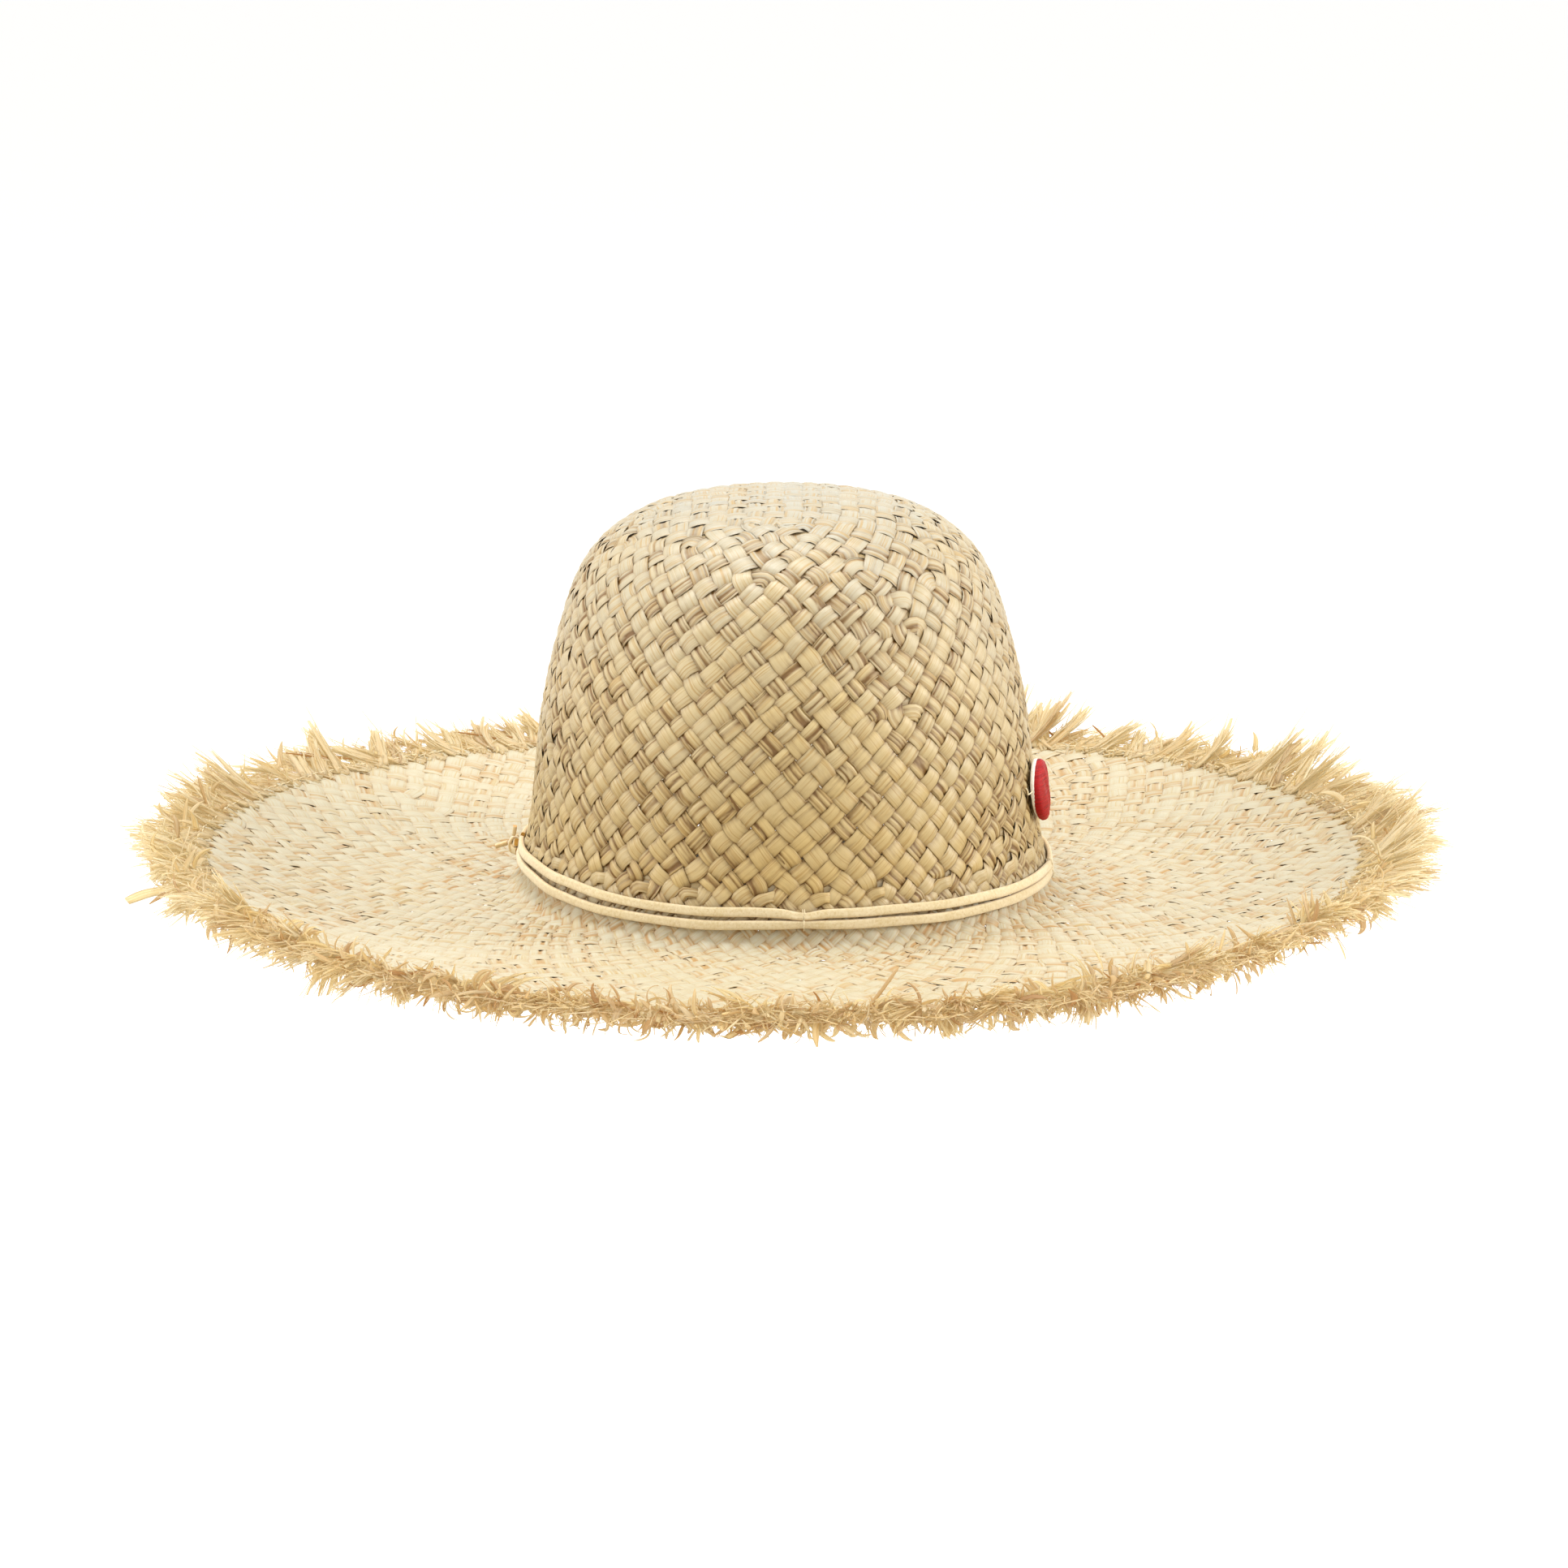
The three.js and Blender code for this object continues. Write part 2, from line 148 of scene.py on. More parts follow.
def lattice():
    rng = np.random.default_rng(7)
    rows = [[0, 1, 2, 3]]
    theta = [PI / 4, 3 * PI / 4, 5 * PI / 4, 7 * PI / 4]
    row_of = [0] * 4
    port_a = [("side", 3), ("side", 0), ("side", 1), ("side", 2)]   # where the strip that leaves as A came from
    port_b = [("side", 1), ("side", 2), ("side", 3), ("side", 0)]
    s_of = [4.4] * 4
    mat = [(0.5, 0.5), (-0.5, 0.5), (-0.5, -0.5), (0.5, -0.5)]      # places in the middle mat, in strips
    go = {(1, 1): ((0, 1), (1, 0)), (-1, 1): ((-1, 0), (0, 1)), (-1, -1): ((0, -1), (-1, 0)), (1, -1): ((1, 0), (0, -1))}
    s = 4.4
    knots_done = False
    folds = []
    axis_pairs = [0, 1, 2, 3]
    while True:
        cur = rows[-1]
        n = len(cur)
        cell = CELL_CROWN if s < KNOT_S else CELL_BRIM
        step = 0.5 * max(oval_round(s + 3) / n, 6.6) if s > 45 else 4.45
        s2 = s + min(step, 5.0)
        if s2 > S_RIM - 1.6:
            break
        want = oval_round(s2) / cell
        j = len(rows)
        if j < 8:
            new = 4
            spots = list(axis_pairs)     # on the four axes, which keeps the middle a flat square mat
        elif not knots_done and s2 >= KNOT_S:
            knots_done = True
            new = KNOTS_ADDED
            base = np.arange(new) * n / new
            spots = sorted({int(round(b + rng.uniform(-0.5, 0.5))) % n for b in base})
        else:
            new = int(max(0, math.floor(want - n)))
            if knots_done and s2 < S_FOOT + 14:
                new = 0
            new = min(new, 5)
            spots = []
            if new:
                start = rng.uniform(0, n)
                spots = sorted({int(start + k * n / new + rng.uniform(-0.2, 0.2) * n / new) % n for k in range(new)})
        nxt, axis_pairs = [], []
        for k in range(n):
            p, q = cur[k], cur[(k + 1) % n]
            if k in spots:
                axis_pairs.append(len(nxt))
            a, b = theta[p], theta[q]
            if b < a:
                b += 2 * PI
            if k in spots:
                i1 = len(theta); i2 = i1 + 1
                theta += [(a + (b - a) * 0.25) % (2 * PI), (a + (b - a) * 0.75) % (2 * PI)]
                row_of += [j, j]; s_of += [s2, s2]
                port_a += [("reg", p), ("side", i1)]
                port_b += [("side", i2), ("reg", q)]
                if j < 8:
                    for node, fam in ((p, 0), (q, 1)):
                        x, y = mat[node]
                        dx, dy = go[(1 if x > 0 else -1, 1 if y > 0 else -1)][fam]
                        mat.append((x + dx, y + dy))
                folds.append((i1, i2))
                nxt += [i1, i2]
            else:
                i1 = len(theta)
                theta.append(((a + b) / 2) % (2 * PI))
                row_of.append(j); s_of.append(s2)
                port_a.append(("reg", p)); port_b.append(("reg", q))
                if j < 8:
                    x, y = mat[p]
                    dx, dy = go[(1 if x > 0 else -1, 1 if y > 0 else -1)][0]
                    mat.append((x + dx, y + dy))
                nxt.append(i1)
        # first guess: spread the row evenly, keeping its order and its place
        th = np.unwrap([theta[i] for i in nxt])
        even = np.arange(len(nxt)) * 2 * PI / len(nxt)
        th = 0.35 * th + 0.65 * (even + np.mean(th - even))
        for i, t in zip(nxt, th):
            theta[i] = float(t)
        rows.append(nxt)
        s = s2
    theta, s_of = np.array(theta), np.array(s_of)
    m = np.array(mat) * CELL_CROWN / math.sqrt(2)
    r = np.hypot(m[:, 0], m[:, 1] / OVAL)
    s_of[: len(m)] = np.interp(r, LINE[: len(crown_mid), 0], LEN[: len(crown_mid)])
    theta[: len(m)] = np.arctan2(m[:, 1] / OVAL, m[:, 0])
    return rows, theta, s_of, np.array(row_of), port_a, port_b, folds


rows, TH, S, ROW, PORT_A, PORT_B, FOLDS = lattice()
COUNT = len(TH)
OUT_A = np.full(COUNT, -1); OUT_B = np.full(COUNT, -1)
for i, (kind, j) in enumerate(PORT_A):
    if kind == "reg":
        OUT_A[j] = i
for i, (kind, j) in enumerate(PORT_B):
    if kind == "reg":
        OUT_B[j] = i


def relax(th, s):
    links, rest, stiff = [], [], []

    cell = np.array([CELL_CROWN if k < 12 else oval_round(s[r[0]]) / len(r) for k, r in enumerate(rows)])
    soft = np.convolve(np.pad(cell, 2, mode="edge"), [0.1, 0.2, 0.4, 0.2, 0.1], "valid")
    for i, (kind, j) in enumerate(PORT_A):
        if kind == "reg" or i > j or i < 4:
            links.append((i, j)); stiff.append(1.0)
            rest.append(soft[ROW[i]] / math.sqrt(2) * (1.0 if kind == "reg" else 1.05))
    for i, (kind, j) in enumerate(PORT_B):
        if kind == "reg":
            links.append((i, j)); rest.append(soft[ROW[i]] / math.sqrt(2)); stiff.append(1.0)
    side = {(a, b) for a, b in FOLDS}
    for row in rows[1:]:
        n = len(row)
        c = oval_round(s[row[0]]) / n
        for k in range(n):
            p, q = row[k], row[(k + 1) % n]
            if (p, q) in side:
                links.append((p, q)); rest.append(c * 0.9); stiff.append(0.5)
            else:
                links.append((p, q)); rest.append(c); stiff.append(0.25)
    links = np.array(links); rest = np.array(rest); stiff = np.array(stiff)
    fixed = np.zeros(len(th), bool)
    fixed[rows[-1]] = True
    still = np.array([ROW[i] < 6 for i in range(len(th))])      # the middle mat is already right
    s_goal = s.copy()
    anchor = np.where(s > KNOT_S - 2, 0.25, 0.03)      # rows keep their level near the band and the rim
    anchor = np.where(s > S_FOOT + 20, 0.08, anchor)
    anchor = np.where(s < 60, 0.0, anchor)
    for it in range(500):
        p = place(s, th)
        d = p[links[:, 1]] - p[links[:, 0]]
        ln = np.linalg.norm(d, axis=1)
        f = (stiff * (ln - rest) / np.maximum(ln, 1e-6))[:, None] * d
        total = np.zeros_like(p)
        np.add.at(total, links[:, 0], f)
        np.add.at(total, links[:, 1], -f)
        ts, tt = tangents(s, th)
        ds = (total * ts).sum(1) / np.maximum((ts * ts).sum(1), 1e-6) * 0.18
        dt = (total * tt).sum(1) / np.maximum((tt * tt).sum(1), 4.0) * 0.18
        ds += anchor * (s_goal - s)
        ds[fixed] = 0
        ds[still] = 0
        dt[still] = 0
        s = np.clip(s + np.clip(ds, -1, 1), 2.0, S_RIM - 1.5)
        th = th + np.clip(dt, -0.05, 0.05)
    return th, s


TH, S = relax(TH, S)
rng = np.random.default_rng(11)
jit = np.where(S > 12, 1.0, 0.5)
TH = TH + rng.normal(0, 0.32, COUNT) * jit / np.maximum(np.interp(S, LEN, LINE[:, 0]), 6)
S = np.minimum(S + rng.normal(0, 0.30, COUNT) * jit, S_RIM - 1.2)
POINT = place(S, TH)
NORMAL = normals(S, TH)


def strips():
    """Every strip as a list of (crossing, height sign), from one end at the rim to the other."""
    out = []
    for end in rows[-1]:
        path = []
        cur, fam = end, "A"
        while True:
            over = (ROW[cur] % 2 == 0) == (fam == "A")
            path.append((cur, 1.0 if over else -1.0))
            kind, j = (PORT_A if fam == "A" else PORT_B)[cur]
            if kind == "reg":
                cur = j
                continue
            fold_at = len(path)
            cur, fam = j, ("B" if fam == "A" else "A")
            break
        while cur >= 0:
            over = (ROW[cur] % 2 == 0) == (fam == "A")
            path.append((cur, 1.0 if over else -1.0))
            cur = int((OUT_A if fam == "A" else OUT_B)[cur])
        out.append((path, fold_at))
    return out


STRIPS = strips()
print("lattice: rows", len(rows), "crossings", COUNT, "strips", len(STRIPS), "last row", len(rows[-1]),
      "foot row", sum(1 for r in rows if S[r[0]] < S_FOOT), [len(r) for r in rows][::4])


# ------------------------------------------------------------------ meshes made of closed tubes
class Tubes:
    """Collects closed tubes, each a run of rings, into one mesh."""

    def __init__(self):
        self.points, self.quads, self.caps, self.uv = [], [], [], []
        self.values = {}
        self.count = 0

    def add(self, rings, uv=None, **values):
        n, m = rings.shape[:2]
        base = self.count
        self.points.append(rings.reshape(-1, 3))
        a = base + (np.arange(n - 1)[:, None] * m + np.arange(m)[None, :])
        b = base + (np.arange(n - 1)[:, None] * m + (np.arange(m)[None, :] + 1) % m)
        self.quads.append(np.stack([a, b, b + m, a + m], -1).reshape(-1, 4))
        self.caps.append(base + np.arange(m)[::-1])
        self.caps.append(base + (n - 1) * m + np.arange(m))
        if uv is not None:
            self.uv.append(uv.reshape(-1, 2))
        for key, value in values.items():
            self.values.setdefault(key, []).append(np.broadcast_to(value, (n, m)).reshape(-1))
        self.count += n * m

    def build(self, name, material, smooth=True):
        points = np.concatenate(self.points) * MM
        quads = np.concatenate(self.quads)
        loops = np.concatenate([quads.ravel()] + self.caps)
        sizes = np.concatenate([np.full(len(quads), 4), [len(c) for c in self.caps]]).astype(np.int32)
        starts = np.concatenate([[0], np.cumsum(sizes)[:-1]]).astype(np.int32)
        mesh = bpy.data.meshes.new(name)
        mesh.vertices.add(len(points))
        mesh.vertices.foreach_set("co", points.astype(np.float32).ravel())
        mesh.loops.add(len(loops))
        mesh.loops.foreach_set("vertex_index", loops.astype(np.int32))
        mesh.polygons.add(len(sizes))
        mesh.polygons.foreach_set("loop_start", starts)
        mesh.polygons.foreach_set("loop_total", sizes)
        flags = np.zeros(len(sizes), bool)
        flags[: len(quads)] = smooth
        mesh.polygons.foreach_set("use_smooth", flags)
        mesh.update(calc_edges=True)
        for key, parts in self.values.items():
            attribute = mesh.attributes.new(key, "FLOAT", "POINT")
            attribute.data.foreach_set("value", np.concatenate(parts).astype(np.float32))
        if self.uv:
            layer = mesh.uv_layers.new(name="OFBake")
            layer.data.foreach_set("uv", np.concatenate(self.uv)[loops].astype(np.float32).ravel())
        mesh.validate()
        obj = bpy.data.objects.new(name, mesh)
        bpy.context.scene.collection.objects.link(obj)
        obj.data.materials.append(material)
        return obj


def wander(rng, n, every, rough=1.0):
    """Smooth random line of n values, with a new value each `every` samples."""
    k = max(4, int(n / every) + 4)
    return np.interp(np.linspace(0, k - 1, n), np.arange(k), rng.normal(0, rough, k))


def along_of(points):
    return np.concatenate([[0], np.cumsum(np.linalg.norm(np.diff(points, axis=0), axis=1))])


# ------------------------------------------------------------------ materials
def material(name):
    m = bpy.data.materials.new(name)
    m.use_nodes = True
    tree = m.node_tree
    tree.nodes.clear()
    out = tree.nodes.new("ShaderNodeOutputMaterial")
    shader = tree.nodes.new("ShaderNodeBsdfPrincipled")
    tree.links.new(shader.outputs["BSDF"], out.inputs["Surface"])
    return m, tree, shader


def node(tree, kind, **sockets):
    n = tree.nodes.new(kind)
    for key, value in sockets.items():
        if key.startswith("_"):
            setattr(n, key[1:], value)
        else:
            n.inputs[key.replace("__", " ")].default_value = value
    return n


def math_node(tree, op, a, b=None, clamp=False):
    n = tree.nodes.new("ShaderNodeMath")
    n.operation = op
    n.use_clamp = clamp
    for socket, value in zip(n.inputs, (a, b)):
        if value is None:
            continue
        if isinstance(value, (int, float)):
            socket.default_value = value
        else:
            tree.links.new(value, socket)
    return n.outputs[0]


def mixed(tree, factor, a, b, mode="MIX"):
    n = tree.nodes.new("ShaderNodeMix")
    n.data_type = "RGBA"
    n.blend_type = mode
    n.clamp_factor = True
    for socket, value in ((n.inputs["Factor"], factor), (n.inputs[6], a), (n.inputs[7], b)):
        if isinstance(value, (int, float)):
            socket.default_value = value
        elif isinstance(value, tuple):
            socket.default_value = (*value, 1) if len(value) == 3 else value
        else:
            tree.links.new(value, socket)
    return n.outputs[2]


def stretch(tree, value, low, high, to_low=0.0, to_high=1.0):
    n = tree.nodes.new("ShaderNodeMapRange")
    n.clamp = True
    n.inputs["From Min"].default_value = low
    n.inputs["From Max"].default_value = high
    n.inputs["To Min"].default_value = to_low
    n.inputs["To Max"].default_value = to_high
    tree.links.new(value, n.inputs["Value"])
    return n.outputs["Result"]


def attribute(tree, name):
    n = tree.nodes.new("ShaderNodeAttribute")
    n.attribute_type = "GEOMETRY"
    n.attribute_name = name
    return n.outputs["Fac"]


def vector(tree, x, y, z):
    n = tree.nodes.new("ShaderNodeCombineXYZ")
    for socket, value in zip(n.inputs, (x, y, z)):
        if isinstance(value, (int, float)):
            socket.default_value = value
        else:
            tree.links.new(value, socket)
    return n.outputs[0]


def noise(tree, where, scale=1.0, detail=2.0, rough=0.5):
    n = node(tree, "ShaderNodeTexNoise", Scale=scale, Detail=detail, Roughness=rough)
    tree.links.new(where, n.inputs["Vector"])
    return n.outputs["Fac"]


def srgb(r, g, b):
    return tuple(((c / 255) / 12.92 if c / 255 <= 0.04045 else ((c / 255 + 0.055) / 1.055) ** 2.4) for c in (r, g, b))


def raffia_material(name, pale, mid, gold, brown, rough=0.5, dash=0.5, deep=0.8, patchy=0.12, through=0.0, glow=0.0):
    """Flattened palm fibre: long streaks and thin brown lines, with brown mixed in by the low attribute: painted shade
    low between the strips, and brown straws in the fringe.
    """
    m, tree, shader = material(name)
    link = tree.links.new
    tone, across, along, kind, low, own = (attribute(tree, k) for k in ("tone", "across", "along", "kind", "low", "own"))
    streak = noise(tree, vector(tree, math_node(tree, "MULTIPLY", along, 0.035), math_node(tree, "MULTIPLY", across, 1.6),
                                math_node(tree, "MULTIPLY", own, 37.0)), 1.0, 3.0, 0.6)
    fine = noise(tree, vector(tree, math_node(tree, "MULTIPLY", along, 0.10), math_node(tree, "MULTIPLY", across, 7.5),
                              math_node(tree, "MULTIPLY", own, 61.0)), 1.0, 2.0, 0.6)
    patch = noise(tree, vector(tree, math_node(tree, "MULTIPLY", along, 0.05), 0.0, math_node(tree, "MULTIPLY", own, 91.0)), 1.0, 2.0)
    # the tone attribute mixes pale to mid; on the strips it carries painted light (paler where more light falls) as
    # well as tone that differs at random
    base = mixed(tree, math_node(tree, "ADD", tone, math_node(tree, "MULTIPLY", math_node(tree, "SUBTRACT", patch, 0.5), patchy), True), pale, mid)
    broad = noise(tree, vector(tree, math_node(tree, "MULTIPLY", along, 0.022), math_node(tree, "MULTIPLY", across, 0.85),
                               math_node(tree, "MULTIPLY", own, 23.0)), 1.0, 1.0, 0.5)
    base = mixed(tree, math_node(tree, "MULTIPLY", stretch(tree, broad, 0.52, 0.62, 0.0, 0.55), math_node(tree, "ADD", math_node(tree, "MULTIPLY", kind, 0.65), 0.2)), base, gold)
    base = mixed(tree, stretch(tree, streak, 0.52, 0.64, 0.0, 0.75), base, gold)
    base = mixed(tree, stretch(tree, fine, 0.52, 0.70, 0.0, 0.35), base, gold)
    base = mixed(tree, math_node(tree, "MULTIPLY", stretch(tree, fine, 0.70, 0.76), dash), base, brown)
    # painted shade: brown mixed in where the low attribute is high, which the strips set in their dips, edges and
    # grooves; in the fringe low also marks brown straws
    base = mixed(tree, math_node(tree, "MULTIPLY", math_node(tree, "POWER", low, 1.4), deep, True), base, brown)
    link(base, shader.inputs["Base Color"])
    extra = math_node(tree, "ADD", math_node(tree, "ADD", math_node(tree, "MULTIPLY", kind, 0.12), math_node(tree, "MULTIPLY", fine, 0.16)), rough - 0.12, True)
    link(extra, shader.inputs["Roughness"])
    shader.inputs["Specular IOR Level"].default_value = 0.5
    bump = node(tree, "ShaderNodeBump", Strength=0.55, Distance=0.00022)
    link(math_node(tree, "ADD", fine, math_node(tree, "MULTIPLY", streak, 0.6)), bump.inputs["Height"])
    link(bump.outputs["Normal"], shader.inputs["Normal"])
    if glow:
        # painted glow: an emission that stands in for the light the loose fibres scatter among themselves
        painted_fibre_glow = tree.nodes.new("ShaderNodeMix")
        painted_fibre_glow.data_type, painted_fibre_glow.blend_type = "RGBA", "MULTIPLY"
        painted_fibre_glow.inputs[0].default_value = 1.0
        link(base, painted_fibre_glow.inputs[6])
        painted_fibre_glow.inputs[7].default_value = (1.0, 0.90, 0.66, 1.0)
        link(painted_fibre_glow.outputs[2], shader.inputs["Emission Color"])
        shader.inputs["Emission Strength"].default_value = glow
    if through:
        lit = tree.nodes.new("ShaderNodeBsdfTranslucent")
        link(base, lit.inputs["Color"])
        link(bump.outputs["Normal"], lit.inputs["Normal"])
        both = tree.nodes.new("ShaderNodeMixShader")
        both.inputs["Fac"].default_value = through
        link(shader.outputs["BSDF"], both.inputs[1])
        link(lit.outputs["BSDF"], both.inputs[2])
        out = next(n for n in tree.nodes if n.type == "OUTPUT_MATERIAL")
        link(both.outputs["Shader"], out.inputs["Surface"])
    m.diffuse_color = (*mid, 1)
    return m


# one raffia given three colourings that stand in for light: the brim's is greyer and less golden against the full
# overhead light it takes, the fringe's much paler and glowing to lift the shade among its fibres
CROWN_RAFFIA = raffia_material("crown_raffia", srgb(163, 163, 152), srgb(202, 175, 114), srgb(168, 135, 75), srgb(112, 78, 28), 0.36, 0.35, 1.0)
BRIM_RAFFIA = raffia_material("brim_raffia", srgb(188, 182, 160), srgb(180, 173, 145), srgb(176, 154, 106), srgb(164, 118, 52), 0.50, 0.32, 0.80)
FRINGE_RAFFIA = raffia_material("fringe_raffia", srgb(233, 227, 208), srgb(228, 216, 184), srgb(211, 185, 130), srgb(176, 127, 60), 0.50, 0.10, 0.95, 0.60, 0.70, 0.64)

# ------------------------------------------------------------------ woven strips
LINKS_A = [[] for _ in range(COUNT)]
LINKS_B = [[] for _ in range(COUNT)]
for i in range(COUNT):
    for (kind, j), mine, reg, other in ((PORT_A[i], LINKS_A, LINKS_A, LINKS_B), (PORT_B[i], LINKS_B, LINKS_B, LINKS_A)):
        mine[i].append(j)
        if kind == "reg":
            reg[j].append(i)


def spread(links):
    length, way = np.zeros(COUNT), np.zeros((COUNT, 3))
    for i, near in enumerate(links):
        d = POINT[near] - POINT[i]
        size = np.linalg.norm(d, axis=1)
        length[i] = size.mean()
        way[i] = d[0] / max(size[0], 1e-6) - (d[-1] / max(size[-1], 1e-6) if len(near) > 1 else 0)
    return length, unit(way)


LEN_A, WAY_A = spread(LINKS_A)
LEN_B, WAY_B = spread(LINKS_B)
LEAN = np.clip(np.linalg.norm(np.cross(WAY_A, WAY_B), axis=1), 0.55, 1)
WIDE_A, WIDE_B = LEN_B * LEAN, LEN_A * LEAN
KNOT_ROW = int(ROW[[a for a, b in FOLDS if abs(S[a] - KNOT_S) < 6][len([a for a, b in FOLDS if abs(S[a] - KNOT_S) < 6]) // 2]])

def section(tops):
    x = np.sin(np.linspace(-PI / 2, PI / 2, tops) * 0.94) / math.sin(PI / 2 * 0.94)
    y = 0.47 * (1 - np.abs(x) ** 2.6) - 0.02
    return np.r_[x, 0.6, 0, -0.6], np.r_[y, -0.22, -0.29, -0.22], np.r_[(x + 1) * 0.43, 0.90, 0.95, 0.99]


SECTIONS = {True: section(13), False: section(9)}

CROWN_PIECES, BRIM_PIECES = 3, 3
crown_tubes = [Tubes() for _ in range(CROWN_PIECES)]
brim_tubes = [Tubes() for _ in range(BRIM_PIECES)]
rng = np.random.default_rng(23)
RIM_ENDS = []          # where each strip ends at the rim: point, way out, normal, own number


def profile(t):
    c = np.cos(np.pi * t)
    return np.sign(c) * np.abs(c) ** 0.85


for number, (path, fold_at) in enumerate(STRIPS):
    ids = np.array([p[0] for p in path])
    sign = np.array([p[1] for p in path])
    fam_a = np.array([k < fold_at for k in range(len(ids))])          # first half runs as A, then as B
    pts, nrm, s_at = POINT[ids], NORMAL[ids], S[ids]
    wide = np.where(fam_a, WIDE_A[ids], WIDE_B[ids])
    # carry both ends on to the rim
    for end in (0, -1):
        step = 1 if end == 0 else -2
        d = unit(pts[0] - pts[1] if end == 0 else pts[-1] - pts[-2])
        reach = 4.2
        p_new = (pts[0] if end == 0 else pts[-1]) + d * reach
        n_new = nrm[0] if end == 0 else nrm[-1]
        if end == 0:
            pts = np.vstack([p_new, pts]); nrm = np.vstack([n_new, nrm]); sign = np.r_[-sign[0], sign]
            wide = np.r_[wide[0], wide]; s_at = np.r_[S_RIM + 1.5, s_at]
        else:
            pts = np.vstack([pts, p_new]); nrm = np.vstack([nrm, n_new]); sign = np.r_[sign, -sign[-1]]
            wide = np.r_[wide, wide[-1]]; s_at = np.r_[s_at, S_RIM + 1.5]
        RIM_ENDS.append((p_new.copy(), d.copy(), n_new.copy(), number, float(wide[0])))
    on_knot = None
    if abs(ROW[ids[fold_at - 1]] - KNOT_ROW) <= 1 and S[ids[fold_at - 1]] < S_FOOT:
        on_knot = fold_at          # index of the link in the carried path (one point was added in front)
    padded_pts = np.vstack([2 * pts[0] - pts[1], pts, 2 * pts[-1] - pts[-2]])
    centre, up, height, width, level, slope = [], [], [], [], [], []
    amp = np.where(s_at < S_FOOT - 6, 0.60, np.where(s_at < S_FOOT + 9, 0.40, 0.42))
    amp = np.where(s_at < 40, 0.38, np.where((s_at > S_FOOT + 9) & (s_at < S_FOOT + 22), 0.56, amp))
    for k in range(len(pts) - 1):
        crownside = min(s_at[k], s_at[k + 1]) < S_FOOT
        n = 4 if crownside else 3
        t = np.linspace(0, 1, n, endpoint=False)
        cut = (s_at[k] - S_FOOT) * (s_at[k + 1] - S_FOOT) < 0
        if cut:
            t = np.sort(np.append(t, (S_FOOT - s_at[k]) / (s_at[k + 1] - s_at[k])))
        a, b, c, d = padded_pts[k], padded_pts[k + 1], padded_pts[k + 2], padded_pts[k + 3]
        T = t[:, None]
        centre.append(0.5 * (2 * b + (c - a) * T + (2 * a - 5 * b + 4 * c - d) * T * T + (3 * b - a - 3 * c + d) * T ** 3))
        up.append(nrm[k] * (1 - T) + nrm[k + 1] * T)
        f = 0.5 + 0.5 * profile(t)
        h = sign[k] * amp[k] * f + sign[k + 1] * amp[k + 1] * (1 - f)
        w = wide[k] * (1 - t) + wide[k + 1] * t
        if on_knot is not None and k == on_knot:
            h = h + 1.25 * np.sin(np.pi * t) ** 0.8
            w = w * (1 - 0.25 * np.sin(np.pi * t))
        height.append(h); width.append(w)
        level.append(s_at[k] * (1 - t) + s_at[k + 1] * t)
    centre.append(pts[-1:]); up.append(nrm[-1:]); height.append([sign[-1] * amp[-1]])
    width.append(wide[-1:]); level.append(s_at[-1:])
    centre, up = np.vstack(centre), unit(np.vstack(up))
    height, width, level = (np.concatenate(x) for x in (height, width, level))
    n = len(centre)
    forward = unit(np.gradient(centre, axis=0))
    side = unit(np.cross(forward, up))
    up = unit(np.cross(side, forward))
    fold_sample = sum((4 if min(s_at[k], s_at[k + 1]) < S_FOOT else 3) for k in range(fold_at))
    early = np.clip((fold_sample - np.arange(n)) / 6 + 0.5, 0, 1)
    kind_a, kind_b = float(rng.random() < 0.66), float(rng.random() < 0.30)
    kind = kind_a * early + kind_b * (1 - early)                        # 1: a bundle of fibres, 0: one broad folded strip
    own = number / 138 + rng.uniform(0, 0.004)
    share = np.where(kind > 0.5, rng.uniform(0.88, 0.95), rng.uniform(0.965, 1.03))
    theta_at = np.arctan2(centre[:, 1] / OVAL, centre[:, 0])
    share = np.where(level < S_FOOT, share + 0.05 * np.clip(np.abs(np.cos(theta_at)) * 2 - 1, 0, 1) + 0.03 * np.clip((60 - level) / 30, 0, 1), share * 0.5 + 0.555)
    width = np.clip(width * share * (1 + 0.035 * wander(rng, n, 9)), 3.0, 9.0)
    # painted light: paler high on the crown and on its lit sides, more golden lower on the wall and near the foot,
    # where less light reaches; the strip's own tone varies at random on top of this
    painted_light_tone = np.interp(level, [0, 45, 70, 105, S_FOOT - 12, S_FOOT, S_FOOT + 12, S_FOOT + 30], [0.10, 0.18, 0.42, 0.74, 0.92, 0.60, 0.35, 0.40])
    painted_light_tone = painted_light_tone - 0.20 * np.abs(np.cos(theta_at)) * np.clip((level - 60) / 40, 0, 1) * (level < S_FOOT)
    tone = np.clip(painted_light_tone + 0.035 * rng.normal() + 0.03 * wander(rng, n, 14), 0, 1)
    across_at, top_at, v_of = SECTIONS[bool(level.min() < S_FOOT)]
    m, tops = len(across_at), len(across_at) - 3
    top = np.tile(top_at, (n, 1))
    for _ in range(4):
        at = np.clip(rng.uniform(1.5, tops - 2.5) + wander(rng, n, 12, 0.8), 1, tops - 2)
        deep = np.where(kind > 0.5, rng.uniform(0.22, 0.42), rng.uniform(0.0, 0.10)) * np.clip(1 + 0.5 * wander(rng, n, 10), 0.2, 1.6)
        reach = np.abs(np.arange(m)[None, :] - at[:, None])
        top -= deep[:, None] * np.clip(1 - reach / 1.0, 0, 1) * (np.arange(m) < tops)
    top[:, 1:tops - 1] += rng.normal(0, 0.020, (n, tops - 2))
    tilt = 0.07 * wander(rng, n, 7)
    bulk = 0.94 + 0.07 * wander(rng, n, 11)
